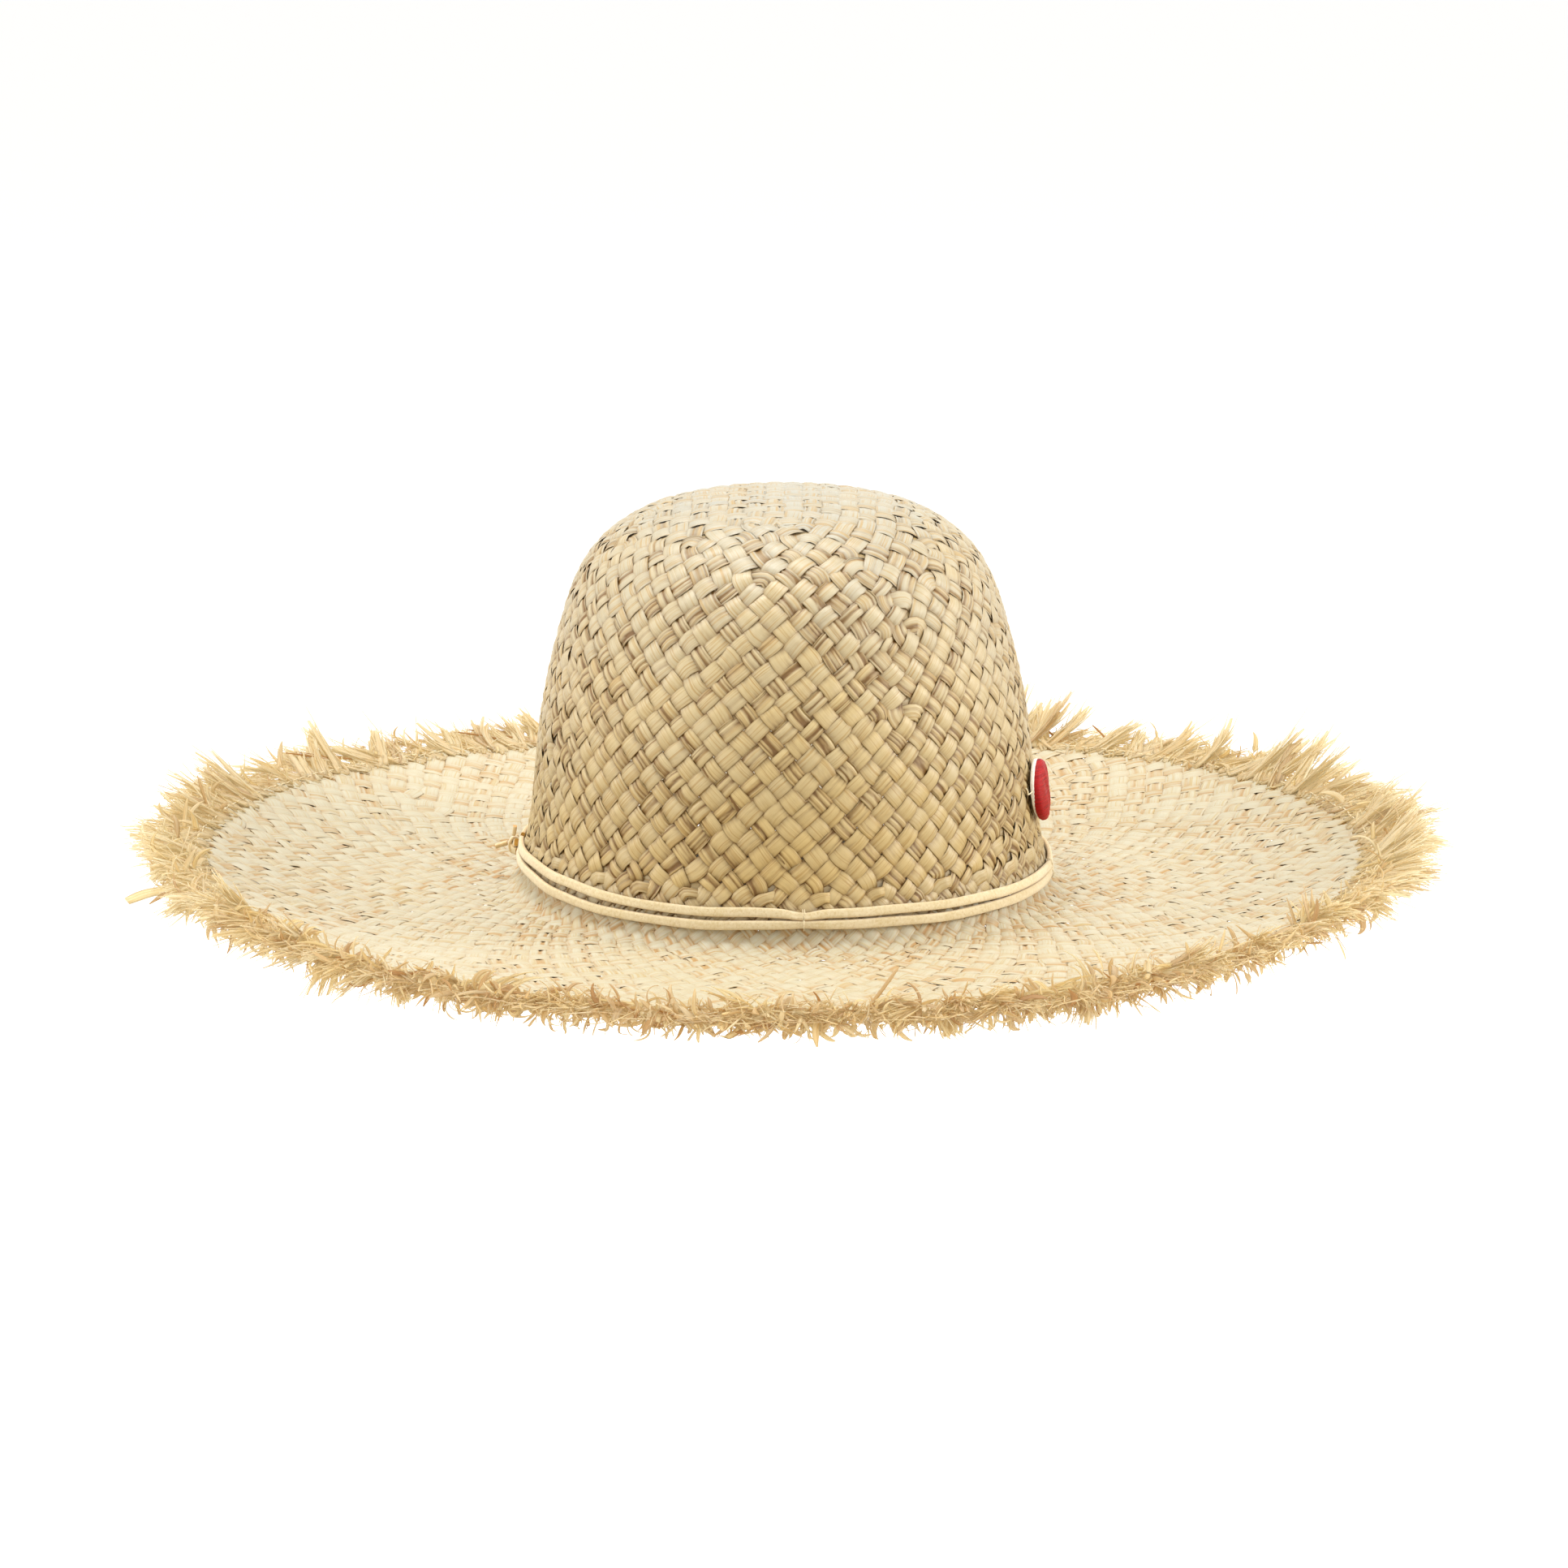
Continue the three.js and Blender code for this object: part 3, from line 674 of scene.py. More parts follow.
    rings = (centre[:, None, :] + side[:, None, :] * (across_at[None, :] * width[:, None] * 0.5)[..., None]
             + up[:, None, :] * (height[:, None] + top * bulk[:, None] + across_at[None, :] * tilt[:, None])[..., None])
    # painted shade: low is high where a strip dips under its neighbours, along its edges and in its grooves, weakest at
    # the top of the crown and strongest just outside the foot
    groove = np.clip((top_at[None, :] - top) / 0.35, 0, 1)
    along = along_of(centre)
    edge = np.clip((np.abs(across_at) - 0.80) / 0.2, 0, 1) * (np.arange(m) < tops)
    shade_strength = np.interp(level, [0, 40, 75, S_FOOT, S_FOOT + 14, S_FOOT + 40], [0.25, 0.45, 1.05, 1.15, 1.45, 0.85])[:, None]
    low = (np.clip(0.36 - height / 1.1, 0, 1)[:, None] * 0.95 + edge[None, :] * 0.50 + groove * 0.95) * shade_strength
    wall = level <= S_FOOT + 1e-6
    marks = np.flatnonzero(np.diff(wall.astype(int)))
    bounds_ = [0, *[int(m) + 1 for m in marks], n]
    for a, b in zip(bounds_[:-1], bounds_[1:]):
        if b - a < 2:
            continue
        crownside = bool(wall[a])
        lo_i, hi_i = a, b
        # both sides share the cut ring
        if not crownside:
            lo_i = max(0, a - 1)
            hi_i = min(n, b + 1) if b < n else b
            if b < n and abs(level[b] - S_FOOT) > 0.01:
                hi_i = b
            if a > 0 and abs(level[a - 1] - S_FOOT) > 0.01:
                lo_i = a
        pick = slice(lo_i, hi_i)
        tubes, pieces_n = (crown_tubes, CROWN_PIECES) if crownside else (brim_tubes, BRIM_PIECES)
        uv = np.stack(np.broadcast_arrays((along[pick] / 760.0)[:, None] % 1.0, (number // pieces_n + v_of[None, :]) / 47.0), -1)
        tubes[number % pieces_n].add(rings[pick], uv, tone=tone[pick][:, None], across=across_at[None, :] * width[pick][:, None] * 0.5,
                                     along=along[pick][:, None], kind=kind[pick][:, None], low=np.clip(low[pick], 0, 1), own=own)

# Where a strip was folded in, its short end lies under the corner between its neighbours.
for i1, i2 in FOLDS:
    p, q = PORT_A[i1][1], PORT_B[i2][1]
    four = POINT[[p, q, i1, i2]].mean(0)
    up = unit(NORMAL[[p, q, i1, i2]].mean(0))
    go = unit(POINT[i2] - POINT[i1])
    side = unit(np.cross(go, up))
    crownside = S[i1] < S_FOOT
    drop = -0.50 if crownside else -0.34
    across_at, top_at, v_of = SECTIONS[False]
    t = np.linspace(-1, 1, 6)
    for rise, turned, half_w in ((drop, 0.0, 3.3), (drop - 0.16, 1.0, 3.0)):
        g, sd = (go, side) if not turned else (side, -go)
        centre = four + t[:, None] * g * 4.1
        rings = (centre[:, None, :] + sd * (across_at[None, :, None] * half_w)
                 + up * (rise + 0.55 * top_at[None, :, None] - 0.1 * t[:, None, None] ** 2))
        tubes, pieces_n = (crown_tubes, CROWN_PIECES) if crownside else (brim_tubes, BRIM_PIECES)
        uv = np.stack(np.broadcast_arrays(0.97 + 0.01 * t[:, None], 0.5 + 0.01 * v_of[None, :]), -1)
        # painted shade: low=0.45 darkens these short ends, which lie under their neighbours
        tubes[i1 % pieces_n].add(rings, uv, tone=rng.uniform(0.35, 0.8), across=across_at[None, :] * half_w,
                                 along=t[:, None] * 4 + 3.0 * i1, kind=0.5, low=0.45, own=(i1 % 97) / 97)

for k, tubes in enumerate(crown_tubes):
    o = tubes.build(f"crown_strips_{k + 1}", CROWN_RAFFIA)
    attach(o, "hat"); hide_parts("crown_weave")
    print(o.name, "triangles", sum(len(p.vertices) - 2 for p in o.data.polygons))
for k, tubes in enumerate(brim_tubes):
    o = tubes.build(f"brim_strips_{k + 1}", BRIM_RAFFIA)
    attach(o, "hat"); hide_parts("brim_weave")
    print(o.name, "triangles", sum(len(p.vertices) - 2 for p in o.data.polygons))


# ------------------------------------------------------------------ frayed edge
FLAT_X = np.array([-1.0, -0.45, 0.45, 1.0, 0.4, -0.4])
FLAT_Y = np.array([-0.3, 0.9, 0.9, -0.3, -0.1, -0.1])
ROUND_X = np.array([-1.0, 0.0, 1.0, 0.0])
ROUND_Y = np.array([0.0, 1.0, 0.0, -1.0])


def fibre(tubes, points, width, thick, up, tone, own, low, kind=0.5, along0=0.0, flat=False):
    """A thin closed strand along the points, flattened against up."""
    forward = unit(np.gradient(points, axis=0))
    side = unit(np.cross(forward, up))
    over = unit(np.cross(side, forward))
    w, h = np.asarray(width)[:, None, None] * 0.5, np.asarray(thick)[:, None, None] * 0.5
    x = (FLAT_X if flat else ROUND_X)[None, :, None]
    y = (FLAT_Y if flat else ROUND_Y)[None, :, None]
    m = x.shape[1]
    rings = points[:, None, :] + side[:, None, :] * x * w + over[:, None, :] * y * h
    along = along_of(points) + along0
    uv = np.stack(np.broadcast_arrays((along / 60.0)[:, None] % 1.0, (own + np.arange(m) / m * 0.003)[None, :] % 1.0), -1)
    tubes.add(rings, uv, tone=np.asarray(tone).reshape(-1, 1), across=(x * w)[..., 0] * 2, along=along[:, None], kind=kind,
              low=np.asarray(low).reshape(-1, 1), own=own)


def soft_floor(z, least):
    """Keep heights above the least one without a sharp corner."""
    return least + np.logaddexp(0, (z - least) * 1.6) / 1.6


FRINGE_PIECES = 3
fringe = [Tubes() for _ in range(FRINGE_PIECES)]
rng = np.random.default_rng(41)
order = np.argsort([math.atan2(p[1] / OVAL, p[0]) for p, *_ in RIM_ENDS])
mood = np.interp(np.linspace(0, 60, len(order), endpoint=False), np.arange(61), np.r_[rng.normal(0, 1, 60), 0])
mood_len = np.interp(np.linspace(0, 48, len(order), endpoint=False), np.arange(49), np.r_[rng.normal(0, 1, 48), 0])
for rank, k in enumerate(order):
    p, d, nrm, number, wide = RIM_ENDS[k]
    th = math.atan2(p[1] / OVAL, p[0])
    out = unit(np.array([p[0], p[1] / OVAL ** 2, 0.0]))
    turn = np.array([-out[1], out[0], 0.0])
    front = float(np.clip((-math.sin(th) - 0.25) / 0.6, 0, 1))
    back = float(np.clip((math.sin(th) - 0.1) / 0.6, 0, 1))
    lean = float(np.dot(d, turn))
    swirl = 0.35 * lean + 0.28 * rng.normal() + 0.15 * mood[(rank * 7) % len(mood)]
    go = unit(0.80 * out + swirl * turn)
    rise = 0.24 + 0.22 * mood[rank] + 0.16 * rng.normal() + (0.18 if rng.random() < 0.5 else -0.10) * back - 0.06 * front
    right_front = float(np.exp(-((math.degrees(th) + 62) / 17) ** 2))
    if rng.random() < 0.10 + 0.25 * right_front + 0.10 * front:
        rise += rng.uniform(0.4, 1.1)
    sag = 0.06 + 0.26 * front + 0.20 * rng.random() - 0.08 * back
    curl = (0.20 + 0.35 * front) * rng.normal() + 0.10 * mood[rank]
    length = float(np.clip(26.0 + 3.0 * mood_len[rank] + 2.2 * rng.normal() - 13.0 * front + 5.0 * math.exp(-((math.degrees(th) - 2) / 30) ** 2), 9, 33))
    bundle_tone = float(np.clip(0.40 + 0.22 * rng.normal() + 0.25 * front, 0, 1))
    side = unit(np.cross(d, nrm))
    base = p - d * 3.2
    tubes = fringe[number % FRINGE_PIECES]
    golden = rng.random() < 0.25 + 0.3 * front
    for form, many in (("cover", 3), ("ribbon", int(rng.integers(5, 9))), ("fine", int(rng.integers(2, 5) + (0 if front < 0.3 else 2)))):
        spots = np.linspace(-0.85, 0.85, many) + rng.uniform(-0.15, 0.15, many)
        for u in spots:
            ribbon = form != "fine"
            cover = form == "cover"
            start = base + side * u * wide * 0.46 + nrm * ((rng.uniform(0.45, 0.9) if rng.random() < 0.5 else rng.uniform(-0.35, 0.3)) if ribbon else rng.uniform(-0.6, 0.8))
            long = length * (rng.uniform(0.62, 1.0) if ribbon else rng.uniform(0.45, 1.12))
            if cover:
                start = p - d * rng.uniform(3.5, 8.0) + side * u * wide * 0.25 + nrm * rng.uniform(0.62, 0.95)
                long = long * rng.uniform(0.75, 1.0) + 5
            w0 = float(rng.uniform(1.5, 3.5)) if ribbon else float(np.clip(rng.lognormal(-0.55, 0.4), 0.30, 1.2))
            n = 9
            fan = (0.22 * u + 0.07 * rng.normal()) if ribbon else (0.34 * u + 0.16 * rng.normal())
            way = unit(go + turn * fan + np.array([0, 0, rise + (0.10 if ribbon else 0.20) * rng.normal()]))
            t = np.linspace(0, 1, n)[:, None]
            leave = unit(d + 0.15 * way) if cover else unit(0.50 * d + 0.50 * way + np.array([0, 0, 0.06]))
            c1 = curl + (0.10 if ribbon else 0.26) * rng.normal()
            c2 = sag + (0.10 if ribbon else 0.24) * rng.normal()
            pts = (start + leave * long * (t - 0.5 * t * t) + way * long * 0.5 * t * t
                   + turn * c1 * long * t * t * 0.55 + np.array([0, 0, -1.0]) * c2 * long * t ** 2.2 * 0.55)
            up = unit(nrm + side * rng.normal() * (0.35 if ribbon else 0.8) + 0.25 * rng.normal(size=3))
            # painted light along each strand: paler towards the tip and browner at the root, where the weave's ends
            # shade it; some bundles are golden at random and the front ones browner
            tone = np.clip(bundle_tone + 0.14 * rng.normal() - 0.15 * t[:, 0], 0, 1)
            low = np.clip(0.25 * (1 - t[:, 0]) ** 2 * rng.random() + (0.35 if golden and rng.random() < 0.35 else 0) + 0.30 * front * rng.random(), 0, 1)
            own = (number * 17 + int(rng.integers(0, 97))) % 971 / 971
            floor_z = 0.5 + 0.5 * rng.random() + 2.0 * front
            if ribbon:
                wave = rng.uniform(0.1, 0.5) * np.sin(t * rng.uniform(3, 7) + rng.uniform(0, 6)) * t
                pts = pts + nrm * wave
                pts[:, 2] = soft_floor(pts[:, 2], floor_z)
                width = w0 * np.interp(t[:, 0], [0, 0.15, 0.65, 0.85, 1], [0.45 if cover else 0.9, 1, 0.85, 0.6, rng.uniform(0.1, 0.5)])
                fibre(tubes, pts, width, np.full(n, 0.42), up, tone, own, low, kind=rng.random(), along0=rng.uniform(0, 40), flat=True)
                # the ribbon's tip splits into finer strands
                forward = unit(np.gradient(pts, axis=0))
                across_way = unit(np.cross(forward, up))
                for e in (-1, 1):
                    if rng.random() < 0.75:
                        q = t[3:, 0]
                        part = pts[3:] + across_way[3:] * (e * w0 * 0.34) + (across_way[3:] * e * rng.uniform(0.3, 2.4)
                               + np.array([0, 0, rng.normal() * 1.2])) * (((q - q[0]) / (1 - q[0])) ** 1.6)[:, None]
                        part[-1] += forward[-1] * rng.uniform(0.3, 2.5)
                        part[:, 2] = soft_floor(part[:, 2], floor_z)
                        fibre(tubes, part, w0 * 0.42 * np.interp(q, [q[0], 1], [1, 0.2]), np.full(len(part), 0.26), up, tone[3:], own, low[3:],
                              kind=rng.random(), along0=rng.uniform(0, 40))
            else:
                w1 = rng.uniform(0.2, 1.0)
                pts = pts + (turn * rng.normal() + nrm * rng.normal()) * w1 * np.sin(t * rng.uniform(3, 8) + rng.uniform(0, 6)) * t
                pts[:, 2] = soft_floor(pts[:, 2], floor_z)
                width = w0 * np.interp(t[:, 0], [0, 0.15, 0.7, 1], [0.9, 1, 0.75, 0.16])
                fibre(tubes, pts, width, np.full(n, min(0.34, 0.5 * w0 + 0.1)) * np.interp(t[:, 0], [0, 0.8, 1], [1, 0.8, 0.35]), up, tone, own, low,
                      kind=rng.random(), along0=rng.uniform(0, 40))

# A mat of fine broken fibres along the very edge, looped and crossing.
for k in range(1900):
    th = rng.uniform(-PI, PI)
    s0 = S_RIM + rng.uniform(-1.5, 12.0)
    front = float(np.clip((-math.sin(th) - 0.1) / 0.6, 0, 1))
    heading = rng.uniform(-1.2, 1.2) + (PI if rng.random() < 0.5 else 0)
    long = rng.uniform(5, 13)
    n = 8
    t = np.linspace(-0.5, 0.5, n)
    bend = rng.normal(0, 0.35)
    rr = BRIM_R
    ds = long * (np.sin(heading) * t + bend * (t * t - 0.12))
    dth = long * np.cos(heading) * t / rr
    pts = place(np.minimum(s0 + ds, S_RIM + 20), th + dth)
    pts[:, 2] += rng.uniform(-0.5, 1.3) + 0.9 * rng.normal() * t * 2 - 0.10 * front * np.maximum(s0 + ds - S_RIM, 0)
    pts[:, 2] = np.maximum(pts[:, 2], 0.5)
    w0 = rng.uniform(0.25, 0.8)
    fibre(fringe[k % FRINGE_PIECES], pts, w0 * np.interp(t, [-.5, -.3, .3, .5], [.3, 1, 1, .3]), np.full(n, 0.24),
          np.array([0.1, 0.0, 1.0]), np.clip(0.55 + 0.25 * rng.normal(), 0, 1) * np.ones(n), rng.random(), rng.uniform(0, 0.5) * np.ones(n))

# Around the front edge the fibres are short, springy and tangled; elsewhere there are fewer of them.
def springy(start, way, axis, turning, long, n=10):
    """Points along a strand whose heading turns evenly about an axis."""
    a = np.linspace(0, turning, n)[:, None]
    axis = unit(axis)
    along_axis = axis * np.dot(axis, way)
    flat = way - along_axis
    heading = along_axis + flat * np.cos(a) + np.cross(axis, flat) * np.sin(a)
    return start + np.vstack([np.zeros(3), np.cumsum((heading[1:] + heading[:-1]) * 0.5, axis=0)]) * long / (n - 1)


def keep_in(pts, least):
    pts[:, 2] = soft_floor(pts[:, 2], least)
    reach = np.hypot(pts[:, 0] / 227.5, pts[:, 1] / 237.3)
    pts[:, :2] *= (np.minimum(reach, 1) / np.maximum(reach, 1e-6))[:, None]
    return pts


for k in range(2900):
    front_one = k < 2000
    th = math.radians(rng.normal(-90, 42)) if front_one else rng.uniform(-PI, PI)
    front = float(np.clip((-math.sin(th) - 0.1) / 0.6, 0, 1))
    out = unit(np.array([math.cos(th), math.sin(th) / OVAL, 0.0]))
    turn = np.array([-out[1], out[0], 0.0])
    start = place(np.array([S_RIM + rng.uniform(-2.5, 6.0 + 4 * (1 - front))]), np.array([th]))[0] + np.array([0, 0, rng.uniform(-3.0, 0.9)])
    way = unit(out * rng.uniform(-0.2, 1.0) + turn * rng.normal(0, 0.8) + np.array([0, 0, rng.normal(-0.02, 0.3)]))
    axis = unit(turn * rng.normal(0, 1) + out * rng.normal(0, 0.6) + np.array([0, 0, rng.normal(0, 0.8)]))
    wide_one = rng.random() < 0.40
    long = rng.uniform(7, 15) - 2.5 * front
    pts = keep_in(springy(start, way, axis, rng.uniform(0.8, 3.6), long), 0.5 + 2.0 * front)
    w0 = rng.uniform(1.5, 2.6) if wide_one else rng.uniform(0.7, 1.4)
    t = np.linspace(0, 1, 10)
    fibre(fringe[k % FRINGE_PIECES], pts, w0 * np.interp(t, [0, .15, .7, 1], [.6, 1, .9, .25]), np.full(10, 0.30 if wide_one else 0.24),
          unit(rng.normal(size=3) + np.array([0, 0, 1.4])), np.clip(0.50 + 0.20 * front + 0.25 * rng.normal(), 0, 1) * np.ones(10), rng.random(),
          ((rng.uniform(0.2, 0.5) if rng.random() < 0.2 else 0.0) + 0.34 * front * rng.random() + 0.10 * front) * np.ones(10), kind=rng.random(), along0=rng.uniform(0, 40), flat=wide_one)

# Tufts of parallel ribbons that fan up over the front of the brim.
for k in range(52):
    th = math.radians(rng.normal(-60, 12)) if k < 17 else math.radians(rng.uniform(-172, -12))
    out = unit(np.array([math.cos(th), math.sin(th) / OVAL, 0.0]))
    turn = np.array([-out[1], out[0], 0.0])
    swing = rng.normal(0.0, 0.9) + (0.5 if k < 17 else 0)
    main = unit(out * rng.uniform(-0.35, 0.5) + turn * swing + np.array([0, 0, rng.uniform(0.2, 0.7)]))
    axis = unit(np.cross(main, np.array([0, 0, 1.0])) + 0.3 * rng.normal(size=3))
    turning = -rng.uniform(0.5, 1.9)
    tuft_tone = rng.uniform(0.1, 0.75)
    for j in range(int(rng.integers(5, 11))):
        start = place(np.array([S_RIM + rng.uniform(-3.5, 3.0)]), np.array([th + rng.normal(0, 3.2) / 205]))[0] + np.array([0, 0, rng.uniform(0, 1.0)])
        way = unit(main + 0.16 * rng.normal(size=3))
        long = rng.uniform(8, 15)
        pts = keep_in(springy(start, way, axis, turning * rng.uniform(0.8, 1.2), long), 4.0)
        w0 = rng.uniform(0.8, 2.3)
        t = np.linspace(0, 1, 10)
        fibre(fringe[k % FRINGE_PIECES], pts, w0 * np.interp(t, [0, .15, .6, 1], [.7, 1, .8, .15]), np.full(10, 0.30), unit(-out + np.array([0, 0, 0.9]) + 0.4 * rng.normal(size=3)),
              np.clip(tuft_tone + 0.12 * rng.normal(), 0, 1) * np.ones(10), rng.random(), (0.4 if rng.random() < 0.2 else 0.0) * np.ones(10),
              kind=rng.random(), along0=rng.uniform(0, 40), flat=True)

# One long stiff straw stands up out of the front edge.
t = np.linspace(0, 1, 9)[:, None]
pts = np.array([23.0, -212.0, 8.6]) * (1 - t) + np.array([34.5, -207.5, 23.2]) * t + np.array([0.5, 0, 0.4]) * np.sin(PI * t)
fibre(fringe[0], pts, np.interp(t[:, 0], [0, .1, .8, 1], [0.8, 1.2, 1.1, 0.5]), np.full(9, 0.5), np.array([0.0, -1.0, 0.25]), np.ones(9), 0.5, np.full(9, 0.5))

# A flat strip end lies out to the side, and a few long brown straws lie along the back.
t = np.linspace(0, 1, 9)[:, None]
pts = np.array([-201.0, -57.0, 11.0]) * (1 - t) + np.array([-216.0, -66.5, 9.6]) * t + np.array([0, 0, 1.2]) * np.sin(PI * t)
fibre(fringe[1], pts, np.interp(t[:, 0], [0, .2, .8, 1], [2.6, 4.2, 4.4, 3.4]), np.full(9, 0.45), np.array([0.1, -0.5, 0.9]), np.full(9, 0.6), 0.31, np.zeros(9), flat=True)
for k in range(7):
    th = math.radians(rng.uniform(112, 152) if k < 5 else rng.uniform(25, 60))
    out = unit(np.array([math.cos(th), math.sin(th) / OVAL, 0.0]))
    turn = np.array([-out[1], out[0], 0.0])
    start = place(np.array([S_RIM + 2.0]), np.array([th]))[0] + np.array([0, 0, 1.2])
    way = unit(turn * rng.uniform(0.6, 1.0) + out * rng.uniform(0.2, 0.6) + np.array([0, 0, rng.uniform(0.15, 0.40)]))
    pts = keep_in(start + way * t * rng.uniform(15, 24) + np.array([0, 0, -1.5]) * t * t, 1.0)
    fibre(fringe[k % FRINGE_PIECES], pts, np.interp(t[:, 0], [0, .1, .8, 1], [0.7, 1.0, 0.9, 0.4]), np.full(9, 0.5), np.array([0.0, -0.6, 0.8]), np.ones(9), rng.random(), np.full(9, 0.85))

for k, tubes in enumerate(fringe):
    o = tubes.build(f"fringe_{k + 1}", FRINGE_RAFFIA)
    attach(o, "hat"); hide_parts("frayed_edge")
    print(o.name, "triangles", sum(len(p.vertices) - 2 for p in o.data.polygons))


# ------------------------------------------------------------------ thread
def thread_material(name, colour, dark):
    m, tree, shader = material(name)
    along, across = attribute(tree, "along"), attribute(tree, "across")
    twist = tree.nodes.new("ShaderNodeTexWave")
    twist.wave_type, twist.bands_direction = "BANDS", "X"
    twist.inputs["Scale"].default_value = 0.55
    twist.inputs["Distortion"].default_value = 0.6
    where = vector(tree, math_node(tree, "ADD", along, math_node(tree, "MULTIPLY", across, 1.2)), 0.0, 0.0)
    tree.links.new(where, twist.inputs["Vector"])
    tree.links.new(mixed(tree, twist.outputs["Fac"], dark, colour), shader.inputs["Base Color"])
    shader.inputs["Roughness"].default_value = 0.6
    shader.inputs["Sheen Weight"].default_value = 0.25
    bump = node(tree, "ShaderNodeBump", Strength=0.6, Distance=0.0001)
    tree.links.new(twist.outputs["Fac"], bump.inputs["Height"])
    tree.links.new(bump.outputs["Normal"], shader.inputs["Normal"])
    return m


THREAD = thread_material("cream_thread", srgb(240, 228, 196), srgb(206, 186, 140))
STRAW_THREAD = thread_material("straw_thread", srgb(222, 206, 168), srgb(204, 184, 138))


def cord_rings(points, radius, sides=8):
    forward = unit(np.gradient(points, axis=0))
    ref = np.array([0.0, 0.0, 1.0]) if abs(forward[0][2]) < 0.8 else np.array([1.0, 0.0, 0.0])
    side = unit(np.cross(forward, ref))
    over = unit(np.cross(side, forward))
    a = -np.arange(sides) * 2 * PI / sides
    r = np.broadcast_to(np.asarray(radius, float).reshape(-1, 1), (len(points), 1))
    return points[:, None, :] + r[..., None] * (side[:, None, :] * np.cos(a)[None, :, None] + over[:, None, :] * np.sin(-a)[None, :, None])


def stitch(tubes, points, radius, plies=2):
    """A thread along the points; the ends taper into the work."""
    n = len(points)
    fat = radius * np.interp(np.linspace(0, 1, n), [0, 0.12, 0.88, 1], [0.55, 1, 1, 0.55])
    rings = cord_rings(points, fat)
    m = rings.shape[1]
    along = along_of(points)
    tubes.add(rings, np.stack(np.broadcast_arrays((along / 30)[:, None] % 1, (np.arange(m) / m)[None, :]), -1),
              along=along[:, None] + 0.7 * points[0][0], across=(np.arange(m) / m)[None, :])


# the row of stitches that locks the end of the weave
lock = Tubes()
rng = np.random.default_rng(5)
r0 = 199.25
round_len = oval_round(S_RIM - 2.4)
count = int(round_len / 4.4)
for k in range(count):
    th0 = 2 * PI * k / count
    half = 2 * PI / count * 0.40
    th = th0 + np.linspace(-half, half, 7)
    s_here = S_RIM - 2.4 + 0.25 * rng.normal()
    pts = place(np.full(7, s_here), th)
    pts[:, 2] += 0.95 + 0.42 * np.sqrt(np.clip(1 - np.linspace(-1, 1, 7) ** 2, 0, 1)) - 0.25
    stitch(lock, pts, 0.26)
o = lock.build("edge_lock_stitches", STRAW_THREAD)
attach(o, "hat"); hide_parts("edge_lock_stitch")


# ------------------------------------------------------------------ suede thong: hatband, knot, tails
def suede_material():
    m, tree, shader = material("pale_suede")
    link = tree.links.new
    cut = attribute(tree, "cut")
    where = node(tree, "ShaderNodeTexCoord").outputs["Object"]
    nap = noise(tree, where, 900.0, 3.0, 0.65)
    cloud = noise(tree, where, 120.0, 2.0, 0.5)
    speck = noise(tree, where, 1500.0, 1.0, 0.5)
    face = mixed(tree, stretch(tree, nap, 0.35, 0.68), srgb(214, 198, 162), srgb(199, 179, 135))
    face = mixed(tree, stretch(tree, cloud, 0.40, 0.75, 0.0, 0.45), face, srgb(222, 208, 178))
    face = mixed(tree, stretch(tree, speck, 0.60, 0.66, 0.0, 0.30), face, srgb(180, 148, 96))
    raw = mixed(tree, stretch(tree, nap, 0.35, 0.7), srgb(204, 156, 74), srgb(184, 134, 56))
    link(mixed(tree, cut, face, raw), shader.inputs["Base Color"])
    shader.inputs["Roughness"].default_value = 0.9
    shader.inputs["Specular IOR Level"].default_value = 0.2
    shader.inputs["Sheen Weight"].default_value = 0.3
    shader.inputs["Sheen Roughness"].default_value = 0.5
    bump = node(tree, "ShaderNodeBump", Strength=0.5, Distance=0.00018)
    link(nap, bump.inputs["Height"])
    link(bump.outputs["Normal"], shader.inputs["Normal"])
    return m


SUEDE = suede_material()
# half of a thong's section: x runs across its width, y away from what it lies on
THONG = np.array([(-1, -0.55), (-1, 0.15), (-0.94, 0.62), (-0.80, 0.92), (-0.4, 1.0), (0, 1.02), (0.4, 1.0), (0.80, 0.92),
                  (0.94, 0.62), (1, 0.15), (1, -0.55), (0.9, -0.95), (0, -1), (-0.9, -0.95)])
THONG_CUT = np.array([0.40, 0.30, 0.10, 0, 0, 0, 0, 0, 0.10, 0.30, 0.40, 0.3, 0.1, 0.3])


def thong(tubes, points, out, half_width, half_thick, ends=(True, True)):
    """A flat thong along the points, its face towards out."""
    n = len(points)
    forward = unit(np.gradient(points, axis=0))
    side = unit(np.cross(forward, out))
    over = unit(np.cross(side, forward))
    hw = np.broadcast_to(np.asarray(half_width, float), n).copy()
    ht = np.broadcast_to(np.asarray(half_thick, float), n).copy()
    rings = (points[:, None, :] + side[:, None, :] * THONG[None, :, 0, None] * hw[:, None, None]
             + over[:, None, :] * THONG[None, :, 1, None] * ht[:, None, None])
    cut = np.tile(THONG_CUT, (n, 1))
    along = along_of(points)
    if ends[0]:
        centre = rings[0].mean(0)
        rings = np.concatenate([(centre + (rings[0] - centre) * 0.90 - forward[0] * 0.10)[None], rings])
        cut = np.vstack([np.ones(14), cut]); along = np.r_[along[0] - 0.1, along]
    if ends[1]:
        centre = rings[-1].mean(0)
        rings = np.concatenate([rings, (centre + (rings[-1] - centre) * 0.90 + forward[-1] * 0.10)[None]])
        cut = np.vstack([cut, np.ones(14)]); along = np.r_[along, along[-1] + 0.1]
    uv = np.stack(np.broadcast_arrays((along / 620)[:, None] % 1, (np.arange(14) / 14)[None, :]), -1)
    tubes.add(rings, uv, cut=cut, along=along[:, None])


